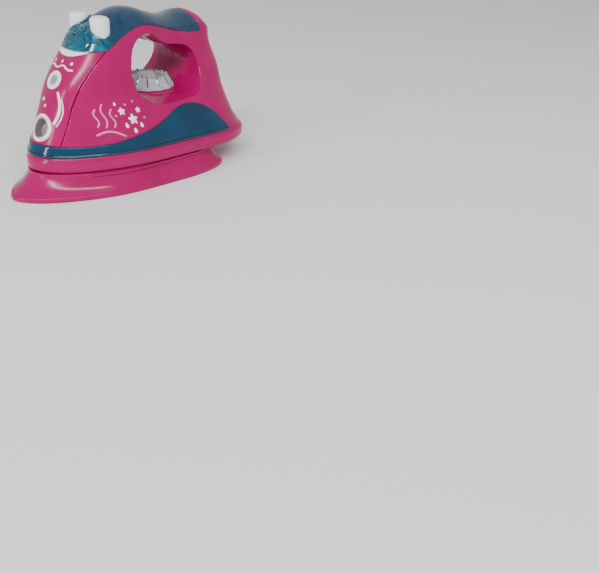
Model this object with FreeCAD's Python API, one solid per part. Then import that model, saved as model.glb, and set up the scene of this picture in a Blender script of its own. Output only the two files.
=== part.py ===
import FreeCAD, Part
import math
import os

# A toy steam iron for pretend play, in millimetres. +Z is up, the nose points
# along -X and the sole rests on z = 0. Stations along the iron are measured
# from the tip of the skirt, and put on X with at(), which centres the length.

V = FreeCAD.Vector

length = 210.0
wall = 2.2
seam_gap = 0.5
band_rise = 0.7
band_sink = 0.9
seat_gap = 0.3
cut_overrun = 5.0

# Plan outlines of the casing from the tray up to the crown. Each row holds the
# height, the nose and heel stations, the nose radius, the half widths at the
# four shares along the outline, and the radius of the heel's corners.
casing_levels = (
    (26.0, 19.5, 208.0, 22.0, 34.5, 46.5, 51.5, 54.0, 42.0),
    (34.0, 22.5, 202.0, 22.0, 33.5, 45.0, 50.0, 52.0, 40.0),
    (42.0, 26.5, 197.5, 23.0, 32.0, 43.0, 47.5, 48.5, 37.0),
    (52.0, 31.5, 194.5, 24.0, 29.5, 38.5, 42.5, 42.5, 32.0),
    (62.0, 36.5, 193.0, 25.0, 27.0, 34.0, 36.5, 36.0, 27.0),
    (74.0, 42.5, 192.5, 26.0, 25.5, 28.5, 29.5, 28.5, 20.0),
    (86.0, 51.0, 189.5, 26.0, 24.0, 25.0, 24.5, 23.5, 17.0),
    (98.0, 61.0, 186.6, 26.0, 21.5, 23.5, 22.0, 21.0, 15.0),
    (110.0, 70.0, 181.8, 25.0, 19.5, 22.0, 21.0, 20.0, 14.0),
    (126.0, 79.5, 173.0, 22.0, 16.0, 19.5, 19.0, 18.0, 13.0),
)
nose_turn = 40.0
fore_share = 0.17
mid_share = 0.37
aft_share = 0.60

# Crown line over nose and handle: station and height, then how far the arch
# has dropped at the arch width, at the nose, over the grip and at the back.
crown_line = (
    (8.0, 84.0), (24.0, 86.0), (40.0, 88.5), (50.0, 94.0), (58.0, 101.0),
    (66.0, 108.6), (73.0, 111.8), (80.0, 114.5), (90.0, 118.5),
    (100.0, 121.8), (109.0, 123.0), (118.0, 121.8), (130.0, 117.6),
    (142.0, 114.6), (153.0, 114.6), (163.0, 116.9), (170.0, 116.7),
    (176.0, 115.0), (181.0, 110.3), (187.0, 101.5), (196.0, 91.0), (216.0, 86.0),
)
arch_width = 24.0
arch_share = 2.3
arch_drops = ((82.0, 17.0), (108.0, 10.3), (150.0, 10.0), (165.0, 12.0))
arch_stations = (0.0, 6.0, 12.0, 18.0, 24.0, 31.0, 40.0, 60.0)

# Side view lines, as stations and heights.
cover_line = (
    (30.0, 97.2), (52.0, 97.2), (67.0, 97.2), (78.5, 97.9), (88.0, 102.9),
    (97.4, 107.8), (105.0, 111.1), (113.0, 112.0), (121.5, 110.7),
    (134.3, 107.2), (148.2, 104.2), (160.0, 102.6), (170.0, 102.6),
)
cover_back_lean = 36.0
fascia_line = (
    (28.0, 25.0), (32.4, 36.9), (36.4, 44.6), (40.8, 52.8), (45.6, 62.9),
    (49.9, 70.7), (56.2, 79.0), (63.0, 86.1), (71.0, 92.8), (77.0, 97.2), (86.0, 104.4),
)
leaf_line = (
    (10.0, 38.0), (30.0, 37.6), (49.0, 37.2), (66.0, 38.0), (84.0, 41.0),
    (101.0, 45.4), (115.0, 50.8), (126.0, 54.6), (138.0, 55.0),
    (148.5, 51.8), (158.0, 44.4), (168.5, 31.4),
)
hand_line = (
    (94.1, 80.5), (95.7, 88.4), (98.8, 97.0), (105.2, 103.4), (112.6, 106.0), (118.1, 105.3),
    (123.0, 102.4), (128.8, 98.4), (132.6, 97.0), (139.6, 96.0), (146.9, 95.0), (154.3, 92.0),
    (159.2, 84.8), (159.1, 76.5), (155.4, 68.5), (149.9, 62.9), (139.6, 60.3), (131.2, 59.8),
    (119.1, 59.4), (107.6, 60.3), (101.5, 62.1), (96.2, 66.6), (94.6, 72.1),
)
hand_throat_inset = 1.6
hand_throat_half = 15.0
hand_flare = 3.4
hand_flare_half = 46.0
hand_wall = 2.0

# Tray under the casing: height and outward step of each outline.
tray_levels = (
    (18.0, -1.5), (18.5, -0.3), (19.6, 0.7), (22.0, 1.1), (26.2, 0.8), (29.4, 0.0),
)
tray_floor = 2.0
casing_foot = tray_levels[-1][0]

# Skirt: the neck and rim outlines in the form of the casing rows, and how the
# flare runs from neck (share 0) to rim (share 1) over the height.
neck_outline = (17.5, 160.0, 18.0, 29.5, 42.0, 46.2, 47.5, 14.0)
rim_outline = (0.0, 171.0, 13.0, 31.3, 46.6, 53.3, 55.0, 22.0)
flare_levels = (
    (0.7, 0.965), (1.6, 1.0), (3.0, 0.99), (4.1, 0.90), (5.6, 0.71), (8.4, 0.43),
    (11.6, 0.22), (14.2, 0.08), (16.0, 0.0),
)
skirt_wall = 2.0
skirt_top = 18.0
skirt_deck = 2.0
strip_reach = 1.5
strip_low = 15.6
strip_high = 17.3
strip_start = 46.0
strip_end = 159.0

# Sole plate and battery door.
sole_thickness = 3.0
sole_inset = 3.2
door_front = 86.0
door_back = 146.0
door_half = 19.5
door_gap = 0.35
door_thickness = 1.8
door_lip = 1.8
door_sink = 0.4
door_tongue = 3.0
grip_ribs = 3
grip_rib_pitch = 2.6

# Two AA cells side by side in their box.
cell_length = 49.2
cell_radius = 7.1
cell_cap_radius = 2.75
cell_cap_height = 1.2
cell_pitch = 15.2
cell_height = 13.05
box_wall = 1.6
box_low = 3.4
box_high = 21.8
box_room = 6.6
box_flange = 3.0
contact_thickness = 0.4

# Front fittings, on the middle of the fascia and square to its slope.
lamp_station = 29.6
lamp_height = 48.0
spray_station = 45.4
spray_height = 79.0
fascia_slope = 60.0
lamp_ring_radius = 10.0
lamp_hole_radius = 7.4
lamp_depth = 6.5
lamp_floor_radius = 5.4
lens_thickness = 1.4
led_radius = 2.5
led_length = 6.0
spray_ring_radius = 6.9
spray_hole_radius = 3.6
spray_tip_length = 11.0
spray_orifice_radius = 0.5
ring_rise = 0.5
fit_clearance = 0.05

# White crescent under the nose.
trim_low = 93.6
trim_high = 98.4
trim_half = 18.5
trim_back = 71.0
trim_rise = 0.35

# Finger buttons over the nose.
button_station = 80.5
button_offset = 11.8
button_radius = 6.8
button_top = 119.6
button_dome = 2.6
button_clearance = 0.35
collar_wall = 1.4
collar_rise = 1.1
collar_foot = 92.2
button_flange_radius = 7.9
button_flange_low = 90.0
button_flange_height = 2.0
button_bore = 5.4
button_bore_top = 106.0
rod_radius = 1.9
sound_rod_low = 80.6
carrier_low = 83.8
carrier_high = 86.0
carrier_front = 66.0
carrier_back = 88.6
guide_clearance = 0.25
guide_wall = 0.9
guide_top = 91.6
spring_radius = 3.7
spring_wire = 0.35
spring_turns = 7

# Pump, tank and tubes.
pump_radius = 6.0
pump_bore = 4.5
pump_low = 62.0
pump_flange_radius = 7.6
pump_flange = 1.6
piston_low = 71.0
piston_height = 3.4
piston_clearance = 0.04
nipple_radius = 1.6
nipple_bore = 0.8
nipple_length = 4.0
tube_radius = 2.5
tube_wall = 0.6
tank_inset = 4.2
tank_wall = 1.2
tank_low = 31.0
tank_high = 53.0
tank_front = 50.0
tank_back = 88.0
tank_half = 18.5
filler_station = 70.0
filler_radius = 5.6
filler_wall = 1.1
plug_radius = 6.2
plug_depth = 8.0
plug_ring_radius = 3.6
suction_low = 34.0

# Dial under the hand opening.
dial_station = 129.0
dial_radius = 21.6
dial_top_radius = 16.4
dial_foot = 61.8
dial_rim = 2.6
dial_height = 8.6
dial_facets = 14
dial_bump_radius = 1.3
dial_clearance = 0.6
dial_cap_radius = 7.0
deck_low = 58.4
pad_reach = 20.0
pad_half = 7.5
spindle_radius = 3.0
spindle_clearance = 0.08
spindle_low = 50.0
clip_radius = 6.0
clip_thickness = 1.0
click_width = 6.0
click_reach = 17.0

# Screws and their bosses.
screw_radius = 1.45
screw_head_radius = 2.9
screw_head_height = 1.9
screw_head_sink = 0.2
cross_width = 0.8
cross_depth = 1.0
cross_share = 0.7
boss_radius = 3.9
half_screw_spots = ((58.5, 60.0), (97.0, 44.0), (172.0, 44.0), (171.0, 88.0))
half_boss_inner = 8.0
sole_screw_spots = ((64.0, 26.5), (152.0, 34.0))
sole_screw_length = 34.0
sole_boss_top = 44.0

# Circuit board, switch and speaker.
board_front = 98.0
board_back = 150.0
board_half = 25.2
board_low = 30.0
board_thickness = 1.6
board_post_radius = 2.6
chip_radius = 6.0
chip_height = 1.6
chip_dome_radius = 24.0
switch_size = 6.0
switch_height = 3.5
switch_plunger = 1.6
switch_top = 76.6
switch_board_reach = 6.5
switch_board_half = 5.2
switch_leg_offset = 3.6
speaker_station = 181.0
speaker_radius = 16.0
speaker_flange = 3.4
magnet_radius = 9.0
magnet_height = 5.0
sound_hole_radius = 1.1
sound_hole_rings = ((0.0, 1), (4.6, 6), (9.2, 12))
ring_width = 3.0


def at(station):
    return station - length / 2


def row_between(low_row, high_row, share):
    return tuple(a + (b - a) * share for a, b in zip(low_row, high_row))


def casing_row(height):
    rows = casing_levels
    if height <= rows[0][0]:
        return rows[0][1:]
    for low, high in zip(rows, rows[1:]):
        if height <= high[0]:
            share = (height - low[0]) / (high[0] - low[0])
            return row_between(low[1:], high[1:], share)
    return rows[-1][1:]


def outline_points(row, outward):
    nose, heel, nose_radius, fore, mid, aft, rear, corner = row
    span = heel - nose
    turn = math.radians(nose_turn)
    radius = nose_radius + outward
    front = nose - outward
    back = heel + outward
    edge = corner + outward
    bend = edge * (1 - math.cos(math.pi / 4))
    half = [
        (front + radius * (1 - math.cos(turn)), radius * math.sin(turn)),
        (nose + span * fore_share, fore + outward),
        (nose + span * mid_share, mid + outward),
        (nose + span * aft_share, aft + outward),
        (back - edge, rear + outward),
        (back - bend, rear + outward - bend),
        (back, rear + outward - edge),
    ]
    ring = [(front, 0)]
    ring += [(x, -y) for x, y in half]
    ring += [(x, y) for x, y in reversed(half)]
    return ring


def outline_wire(row, outward, height):
    curve = Part.BSplineCurve()
    points = [V(at(x), y, height) for x, y in outline_points(row, outward)]
    curve.interpolate(Points=points, PeriodicFlag=True)
    return Part.Wire(curve.toShape())


def hull(outward):
    wires = [outline_wire(row[1:], outward, row[0]) for row in casing_levels]
    return Part.makeLoft(wires, True, False)


def value_on(line, station):
    if station <= line[0][0]:
        return line[0][1]
    for low, high in zip(line, line[1:]):
        if station <= high[0]:
            share = (station - low[0]) / (high[0] - low[0])
            smooth = share * share * (3 - 2 * share)
            return low[1] + (high[1] - low[1]) * smooth
    return line[-1][1]


def crown(outward):
    sides = [-y for y in reversed(arch_stations[1:])] + list(arch_stations)
    grid = []
    for station, top in crown_line:
        drop = value_on(arch_drops, station)
        row = []
        for side in sides:
            reach = max(abs(side) - outward, 0) / arch_width
            height = top + outward - drop * reach ** arch_share
            row.append(V(at(station), side, height))
        grid.append(row)
    surface = Part.BSplineSurface()
    degree = 3
    knots = [clamped_knots(count, degree) for count in (len(grid), len(sides))]
    surface.buildFromPolesMultsKnots(grid, knots[0][1], knots[1][1], knots[0][0], knots[1][0],
                                     False, False, degree, degree)
    return surface.toShape().extrude(V(0, 0, -2 * length))


def clamped_knots(count, degree):
    inner = count - degree - 1
    values = [float(i) for i in range(inner + 2)]
    return values, [degree + 1] + [1] * inner + [degree + 1]


def casing(outward):
    return hull(outward).common(crown(outward))


def box(x0, x1, y0, y1, z0, z1):
    return Part.makeBox(x1 - x0, y1 - y0, z1 - z0, V(at(x0), y0, z0))


def slab(z0, z1):
    return box(-length, 2 * length, -length, length, z0, z1)


def post(station, side, radius, z0, z1):
    return Part.makeCylinder(radius, z1 - z0, V(at(station), side, z0))


def side_curve(points, closed=False):
    curve = Part.BSplineCurve()
    curve.interpolate(Points=[V(at(x), 0, z) for x, z in points], PeriodicFlag=closed)
    return curve.toShape()


def side_prism(edges, half_width):
    wire = Part.Wire(Part.__sortEdges__(edges))
    face = Part.Face(wire)
    face.translate(V(0, -half_width, 0))
    return face.extrude(V(0, 2 * half_width, 0))


def polyline(points):
    places = [V(at(x), 0, z) for x, z in points]
    return [Part.makeLine(a, b) for a, b in zip(places, places[1:])]


def shifted(line, along, up):
    return tuple((x + along, z + up) for x, z in line)


def above_line(line, back_lean, ceiling):
    first, last = line[0], line[-1]
    edges = [side_curve(line)]
    edges += polyline([last, (last[0] - back_lean, ceiling), (first[0], ceiling), first])
    return side_prism(edges, length)


def below_line(line, floor):
    first, last = line[0], line[-1]
    edges = [side_curve(line)]
    edges += polyline([last, (last[0], floor), (first[0], floor), first])
    return side_prism(edges, length)


def ahead_of_line(line, front):
    first, last = line[0], line[-1]
    edges = [side_curve(line)]
    edges += polyline([last, (front, last[1]), (front, first[1]), first])
    return side_prism(edges, length)


def offset_line(line, outward):
    count = len(line)
    moved = []
    for i, (x, z) in enumerate(line):
        x0, z0 = line[i - 1]
        x1, z1 = line[(i + 1) % count]
        run = math.hypot(x1 - x0, z1 - z0)
        moved.append((x - (z1 - z0) / run * outward, z + (x1 - x0) / run * outward))
    return moved


def ring_wire(line, side):
    edge = side_curve(line, True)
    edge.translate(V(0, side, 0))
    return Part.Wire(edge)


def hand_space(outward):
    throat = offset_line(hand_line, outward - hand_throat_inset)
    mouth = offset_line(hand_line, outward + hand_flare)
    core = Part.Face(ring_wire(throat, -hand_throat_half)).extrude(V(0, 2 * hand_throat_half, 0))
    sides = [core]
    for sign in (-1, 1):
        wires = [ring_wire(throat, sign * hand_throat_half), ring_wire(mouth, sign * hand_flare_half)]
        sides.append(Part.makeLoft(wires, True, False))
    return sides[0].fuse(sides[1:])


def front_axis(station, height):
    lean = math.radians(fascia_slope)
    return V(at(station), 0, height), V(-math.sin(lean), 0, math.cos(lean))


def front_rod(station, height, radius, depth, reach):
    place, out = front_axis(station, height)
    return Part.makeCylinder(radius, depth + reach, place - out * depth, out)


def front_cone(station, height, deep_radius, face_radius, depth, reach):
    place, out = front_axis(station, height)
    rise = (face_radius - deep_radius) * reach / depth
    return Part.makeCone(deep_radius, face_radius + rise, depth + reach, place - out * depth, out)


def tray_shape():
    row = casing_row(0)
    steps = [outline_wire(casing_row(z), step, z) for z, step in tray_levels]
    outer = Part.makeLoft(steps, True, False)
    inner_low = tray_levels[0][0] + tray_floor
    wires = [outline_wire(row, -wall, inner_low), outline_wire(casing_row(casing_foot), -wall, casing_foot)]
    inner = Part.makeLoft(wires, True, False)
    lid = Part.Face(wires[1]).extrude(V(0, 0, cut_overrun))
    return outer.cut(inner).cut(lid)


def battery_room(clearance):
    half = cell_pitch / 2 + cell_radius + box_wall + clearance
    reach = cell_length / 2 + box_room / 2 + box_wall + clearance
    middle = (door_front + door_back) / 2
    return middle - reach, middle + reach, half


def screw_holes(radius, z0, z1):
    holes = []
    for station, side in sole_screw_spots:
        for sign in (-1, 1):
            holes.append(post(station, sign * side, radius, z0, z1))
    return holes


def base_tray():
    tray = tray_shape()
    front, back, half = battery_room(seat_gap)
    floor_low = tray_levels[0][0]
    tray = tray.cut(box(front, back, -half, half, floor_low - cut_overrun, floor_low + cut_overrun))
    posts = [post(x, y, board_post_radius, floor_low + tray_floor / 2, board_low) for x, y in board_spots()]
    tray = tray.fuse(posts)
    tray = tray.fuse(speaker_posts())
    holes = screw_holes(screw_radius + seat_gap, floor_low - cut_overrun, floor_low + cut_overrun)
    for ring_radius, count in sound_hole_rings:
        for i in range(count):
            turn = 2 * math.pi * i / count
            place = (speaker_station + ring_radius * math.cos(turn), ring_radius * math.sin(turn))
            holes.append(post(place[0], place[1], sound_hole_radius, 0, floor_low + cut_overrun))
    return tray.cut(holes)


def board_spots():
    edge = board_post_radius + seat_gap
    spots = []
    for x in (board_front + edge, board_back - edge):
        for y in (-board_half + edge, board_half - edge):
            spots.append((x, y))
    return spots


def flare_wire(height, share, outward):
    return outline_wire(row_between(neck_outline, rim_outline, share), outward, height)


def strip_shape():
    ring = Part.Face(flare_wire(strip_low, 0, strip_reach)).extrude(V(0, 0, strip_high - strip_low))
    return ring.common(box(strip_start, strip_end, -length, length, strip_low, strip_high))


def skirt():
    outer = Part.makeLoft([flare_wire(z, share, 0) for z, share in flare_levels], True, False)
    neck = Part.Face(flare_wire(flare_levels[-1][0], 0, 0))
    outer = outer.fuse(neck.extrude(V(0, 0, skirt_top - flare_levels[-1][0])))
    drop = skirt_wall
    wires = [flare_wire(-cut_overrun, 1, -skirt_wall)]
    wires += [flare_wire(z - drop, share, -skirt_wall) for z, share in flare_levels[3:]]
    hollow = Part.makeLoft(wires, True, True)
    ceiling = skirt_top - skirt_deck
    throat = Part.Face(flare_wire(flare_levels[-1][0] - drop, 0, -skirt_wall))
    hollow = hollow.fuse(throat.extrude(V(0, 0, ceiling - flare_levels[-1][0] + drop)))
    sole_seat = Part.Face(flare_wire(-cut_overrun, 1, seat_gap - sole_inset))
    hollow = hollow.fuse(sole_seat.extrude(V(0, 0, sole_thickness + cut_overrun)))
    shell = outer.cut(hollow).fuse(strip_shape())
    front, back, half = battery_room(seat_gap)
    shell = shell.cut(box(front, back, -half, half, 0, skirt_top + cut_overrun))
    posts = screw_holes(boss_radius, sole_thickness, skirt_top - skirt_deck / 2)
    shell = shell.fuse(posts)
    return shell.cut(screw_holes(screw_radius + seat_gap, 0, skirt_top + cut_overrun))


def sole_plate():
    plate = Part.Face(flare_wire(0, 1, -sole_inset)).extrude(V(0, 0, sole_thickness))
    lip = door_lip
    opening = box(door_front + lip, door_back - lip, -door_half + lip, door_half - lip,
                  -cut_overrun, cut_overrun)
    recess = box(door_front, door_back, -door_half, door_half, -cut_overrun, door_sink + door_thickness)
    slot = box(door_front - door_tongue, door_front + lip, -door_half / 2, door_half / 2,
               door_sink + door_thickness / 3, door_sink + door_thickness)
    plate = plate.cut([opening, recess, slot])
    sinks = screw_holes(screw_head_radius + seat_gap, -cut_overrun, screw_head_sink + screw_head_height)
    return plate.cut(sinks).cut(screw_holes(screw_radius + seat_gap, -cut_overrun, cut_overrun))


def battery_door():
    gap = door_gap
    panel = box(door_front + gap, door_back - gap, -door_half + gap, door_half - gap,
                door_sink, door_sink + door_thickness - fit_clearance)
    ribs = []
    for i in range(grip_ribs):
        start = door_back - (i + 2) * grip_rib_pitch
        ribs.append(box(start, start + grip_rib_pitch / 2, -door_half / 3, door_half / 3,
                        0, door_sink + door_thickness / 2))
    return panel.fuse(ribs)


def battery_box():
    front, back, half = battery_room(0)
    shell = box(front, back, -half, half, box_low, box_high)
    flange = box(front - box_flange, back + box_flange, -half - box_flange, half + box_flange,
                 tray_levels[0][0] + tray_floor, box_high)
    room = box(front + box_wall, back - box_wall, -half + box_wall, half - box_wall,
               -cut_overrun, box_high - box_wall)
    return shell.fuse(flange).cut(room)


def cell_axis_sides():
    return (-cell_pitch / 2, cell_pitch / 2)


def cells():
    middle = (door_front + door_back) / 2
    group = []
    for side, way in zip(cell_axis_sides(), (1, -1)):
        foot = V(at(middle) - way * cell_length / 2, side, cell_height)
        can = Part.makeCylinder(cell_radius, cell_length - cell_cap_height, foot, V(way, 0, 0))
        cap = Part.makeCylinder(cell_cap_radius, cell_length, foot, V(way, 0, 0))
        group.append(can.fuse(cap))
    return Part.makeCompound(group)


def cell_contacts():
    front, back, half = battery_room(-box_wall)
    middle = (door_front + door_back) / 2
    group = []
    plate_half = cell_radius / 2 + contact_thickness
    for side, way in zip(cell_axis_sides(), (1, -1)):
        cap_wall = back if way > 0 else front
        foot_wall = front if way > 0 else back
        gap = abs(cap_wall - middle) - cell_length / 2
        out = V(way, 0, 0)
        cap_place = V(at(cap_wall), side, cell_height)
        foot_place = V(at(foot_wall), side, cell_height)
        near, far = sorted((cap_wall, cap_wall - way * contact_thickness))
        plate = box(near, far, side - plate_half, side + plate_half,
                    cell_height - plate_half, cell_height + plate_half)
        group.append(plate.fuse(Part.makeCylinder(cell_cap_radius, gap, cap_place, out * -1)))
        group.append(Part.makeCone(cell_radius / 2, cell_cap_radius, gap, foot_place, out))
    return Part.makeCompound(group)


def half_bosses():
    bosses = []
    for station, height in half_screw_spots:
        axis = V(0, 1, 0)
        rod = Part.makeCylinder(boss_radius, 2 * length, V(at(station), -length, height), axis)
        bosses.append(rod)
    return bosses


def half_screw_holes(radius, y0, y1):
    return [Part.makeCylinder(radius, y1 - y0, V(at(x), y0, z), V(0, 1, 0)) for x, z in half_screw_spots]


def sole_bosses(inside):
    bosses = []
    for station, side in sole_screw_spots:
        for sign in (-1, 1):
            rod = post(station, sign * side, boss_radius, tray_levels[0][0] + tray_floor, sole_boss_top)
            near, far = sorted((sign * side, sign * length))
            rib = box(station - wall / 2, station + wall / 2, near, far, casing_foot, sole_boss_top)
            bosses.append(rod.fuse(rib.common(inside)))
    return bosses


def casing_zones():
    above = slab(casing_foot, 2 * length)
    behind = box(carrier_back, 2 * length, -length, length, 0, 2 * length)
    cover_zone = above_line(cover_line, cover_back_lean, length)
    front_zone = ahead_of_line(shifted(fascia_line, -seam_gap / 2, 0), -length)
    side_zone = ahead_of_line(shifted(fascia_line, seam_gap / 2, 0), -length)
    return above, behind, cover_zone, front_zone, side_zone


def side_band():
    band = hull(band_rise).cut(hull(-band_sink))
    return band.common(below_line(leaf_line, casing_foot)).common(slab(casing_foot, 2 * length))


def casing_parts():
    outer = casing(0)
    inner = casing(-wall)
    skin_outer = casing(-wall - seat_gap)
    skin_inner = casing(-2 * wall - seat_gap)
    above, behind, cover_zone, front_zone, side_zone = casing_zones()
    band = side_band()
    shell = outer.cut(inner).common(above)
    cover = shell.common(cover_zone)
    trim = casing(trim_rise).cut(inner).common(trim_region()).cut(cover_zone)
    rest = shell.cut(cover_zone).cut(trim_region()).cut(band)
    fascia = rest.common(front_zone)
    body = rest.cut(side_zone)
    flange_zone = ahead_of_line(shifted(fascia_line, 2 * wall, 0), -length)
    flange_zone = flange_zone.cut(ahead_of_line(shifted(fascia_line, -wall, 0), -length))
    flange_zone = flange_zone.common(slab(casing_foot, trim_low - wall))
    flange = inner.cut(skin_inner).common(flange_zone)
    top_skin = skin_outer.cut(skin_inner).common(cover_zone).common(behind)
    ledge_zone = above_line(shifted(cover_line, wall, -wall), cover_back_lean - wall, length)
    ledge = inner.cut(skin_inner).common(ledge_zone).cut(cover_zone).common(behind)
    tube = hand_space(hand_wall)
    tube = tube.common(outer.cut(cover_zone).fuse(skin_outer.common(cover_zone)))
    additions = [flange, top_skin, ledge, tube.common(above), carrier_ledges(inner).cut(side_zone)]
    additions += [rod.common(inner) for rod in half_bosses()]
    body = body.fuse(additions)
    body = body.cut(hand_space(0))
    guide_room = button_flange_radius + guide_clearance + guide_wall + fit_clearance
    body = body.cut([rod.common(inner) for rod in button_posts(guide_room, carrier_high, length)])
    dial_top = dial_foot + dial_height
    dial_room = post(dial_station, 0, dial_radius + dial_clearance, dial_foot - seat_gap, dial_top)
    body = body.cut(dial_room).fuse(sole_bosses(inner) + dial_deck(inner))
    return body, fascia, cover, trim, band


def dial_deck(inside):
    top = dial_foot - seat_gap
    plate = post(dial_station, 0, dial_radius + wall, deck_low, top)
    plate = plate.common(hand_space(hand_wall / 2)).common(inside)
    pad = box(dial_station - pad_reach, dial_station + pad_reach, -pad_half, pad_half,
              deck_low, top - wall / 2)
    return [plate, pad]


def halves(body):
    seats = []
    for station, height in half_screw_spots:
        place = V(at(station), half_seat(station, height) - screw_head_height, height)
        seats.append(Part.makeCylinder(screw_head_radius + seat_gap, length, place, V(0, 1, 0)))
    holes = half_screw_holes(screw_radius + fit_clearance, -half_boss_inner - cut_overrun, length)
    spindle_hole = spindle_radius + spindle_clearance
    holes.append(post(dial_station, 0, spindle_hole, deck_low - cut_overrun, length / 2))
    holes += screw_holes(screw_radius + fit_clearance, 0, sole_screw_length + cut_overrun)
    body = body.cut(seats + holes)
    left = body.common(box(-length, 2 * length, -length, 0, 0, length))
    right = body.common(box(-length, 2 * length, 0, length, 0, length))
    return left, right


def trim_region():
    top = [V(at(0), y, trim_high) for y in (-trim_half, trim_half)]
    curve = Part.Arc(V(at(0), -trim_half, trim_high - seam_gap), V(at(0), 0, trim_low),
                     V(at(0), trim_half, trim_high - seam_gap)).toShape()
    edges = [Part.makeLine(top[0], top[1]), curve]
    for side in (-trim_half, trim_half):
        edges.append(Part.makeLine(V(at(0), side, trim_high), V(at(0), side, trim_high - seam_gap)))
    face = Part.Face(Part.Wire(Part.__sortEdges__(edges)))
    return face.extrude(V(trim_back, 0, 0))


def ring_fitting(station, height, hole_radius, ring_radius):
    ring = front_rod(station, height, ring_radius, 2 * wall, cut_overrun)
    ring = ring.cut(front_rod(station, height, hole_radius, 3 * wall, 2 * cut_overrun))
    return ring.common(hull(ring_rise)).cut(hull(-band_sink))


def lamp_reflector():
    place = (lamp_station, lamp_height)
    cup_radius = lamp_floor_radius + wall / 2
    cup = front_cone(*place, cup_radius, lamp_hole_radius - fit_clearance, lamp_depth, wall)
    dish = front_cone(*place, lamp_floor_radius, lamp_hole_radius - wall / 2, lamp_depth, wall)
    deep = front_rod(*place, led_radius + fit_clearance, lamp_depth + cut_overrun, 0)
    back = front_rod(*place, cup_radius, lamp_depth + wall, -lamp_depth)
    return cup.common(hull(0)).cut(dish).fuse(back).cut(deep)


def lamp_lens():
    return front_rod(lamp_station, lamp_height, lamp_floor_radius - fit_clearance, lamp_depth,
                     lens_thickness - lamp_depth)


def lamp_led():
    body = front_rod(lamp_station, lamp_height, led_radius, lamp_depth + led_length, -lamp_depth)
    foot = front_rod(lamp_station, lamp_height, led_radius + wall / 4, lamp_depth + led_length,
                     -lamp_depth - led_length + wall / 2)
    return body.fuse(foot)


def spray_nozzle():
    tip = front_rod(spray_station, spray_height, spray_hole_radius - fit_clearance, wall, cut_overrun)
    tip = tip.common(hull(ring_rise / 2))
    stem = front_rod(spray_station, spray_height, tube_radius, spray_tip_length, -wall / 2)
    bore = front_rod(spray_station, spray_height, spray_orifice_radius,
                     2 * spray_tip_length, 2 * cut_overrun)
    return tip.fuse(stem).cut(bore)


def fascia_holes():
    lamp = (lamp_station, lamp_height)
    spray = (spray_station, spray_height)
    deep = hull(-band_sink)
    lamp_seat = front_rod(*lamp, lamp_ring_radius + fit_clearance, 2 * wall, cut_overrun).cut(deep)
    lamp_hole = front_rod(*lamp, lamp_hole_radius, 3 * lamp_depth, 2 * cut_overrun)
    spray_seat = front_rod(*spray, spray_ring_radius + fit_clearance, 2 * wall, cut_overrun).cut(deep)
    spray_hole = front_rod(*spray, spray_hole_radius, 2 * spray_tip_length, 2 * cut_overrun)
    return [lamp_seat, lamp_hole, spray_seat, spray_hole]


def button_posts(radius, z0, z1):
    return [post(button_station, sign * button_offset, radius, z0, z1) for sign in (-1, 1)]


def cover_details(cover):
    hole = button_radius + button_clearance
    posts = button_posts(hole + collar_wall, collar_foot, length)
    raised = casing(collar_rise).common(above_line(cover_line, cover_back_lean, length))
    room = casing(-wall - seat_gap).fuse(raised)
    collars = [rod.common(room) for rod in posts]
    place, out = plug_place()
    seat = Part.makeCylinder(plug_radius + collar_wall, plug_depth, place - out * plug_depth, out)
    cover = cover.fuse(collars).fuse(seat.common(casing(0)))
    start = place - out * (plug_depth + cut_overrun)
    mouth = Part.makeCylinder(plug_radius + fit_clearance, plug_depth + 2 * cut_overrun, start, out)
    return cover.cut(button_posts(hole, 0, length)).cut(mouth)


def plug_place():
    lean = math.radians(fascia_slope)
    place = V(at(filler_station), 0, value_on(crown_line, filler_station))
    return place, V(-math.cos(lean), 0, math.sin(lean))


def filler_plug():
    place, out = plug_place()
    rod = Part.makeCylinder(plug_radius, plug_depth, place - out * plug_depth, out)
    cap = rod.fuse(Part.makeCylinder(plug_radius, cut_overrun, place, out)).common(casing(fit_clearance))
    room = Part.makeCylinder(plug_radius - wall / 2, plug_depth, place - out * (plug_depth + wall), out)
    start = place - out * wall
    ring = Part.makeCylinder(plug_ring_radius, cut_overrun, start, out)
    ring = ring.cut(Part.makeCylinder(plug_ring_radius - wall / 3, 2 * cut_overrun, start, out))
    return cap.cut(room).fuse(ring.common(casing(wall / 4)))


def button_body(side, rod_low):
    shaft = post(button_station, side, button_radius, button_flange_low, button_top - button_dome)
    dome_radius = (button_radius ** 2 + button_dome ** 2) / (2 * button_dome)
    dome = Part.makeSphere(dome_radius, V(at(button_station), side, button_top - dome_radius))
    dome = dome.common(post(button_station, side, button_radius, button_top - button_dome, button_top))
    flange = post(button_station, side, button_flange_radius, button_flange_low,
                  button_flange_low + button_flange_height)
    bore = post(button_station, side, button_bore, button_flange_low, button_bore_top)
    rod = post(button_station, side, rod_radius, rod_low, button_bore_top)
    return shaft.fuse([dome, flange]).cut(bore).fuse(rod)


def spray_button():
    button = button_body(-button_offset, button_flange_low - wall)
    socket = post(button_station, -button_offset, rod_radius / 2,
                  button_flange_low - wall, button_bore_top - wall)
    return button.cut(socket)


def sound_button():
    return button_body(button_offset, sound_rod_low)


def pump_piston():
    side = -button_offset
    rod = post(button_station, side, rod_radius - spring_wire, piston_low, button_flange_low - wall)
    pin = post(button_station, side, rod_radius / 2, button_flange_low - wall, button_bore_top - 2 * wall)
    head = post(button_station, side, pump_bore - piston_clearance, piston_low, piston_low + piston_height)
    return rod.fuse([pin, head])


def coil_point(angle, side, low, pitch):
    return V(at(button_station) + spring_radius * math.cos(angle), side + spring_radius * math.sin(angle),
             low + pitch * angle / (2 * math.pi))


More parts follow.
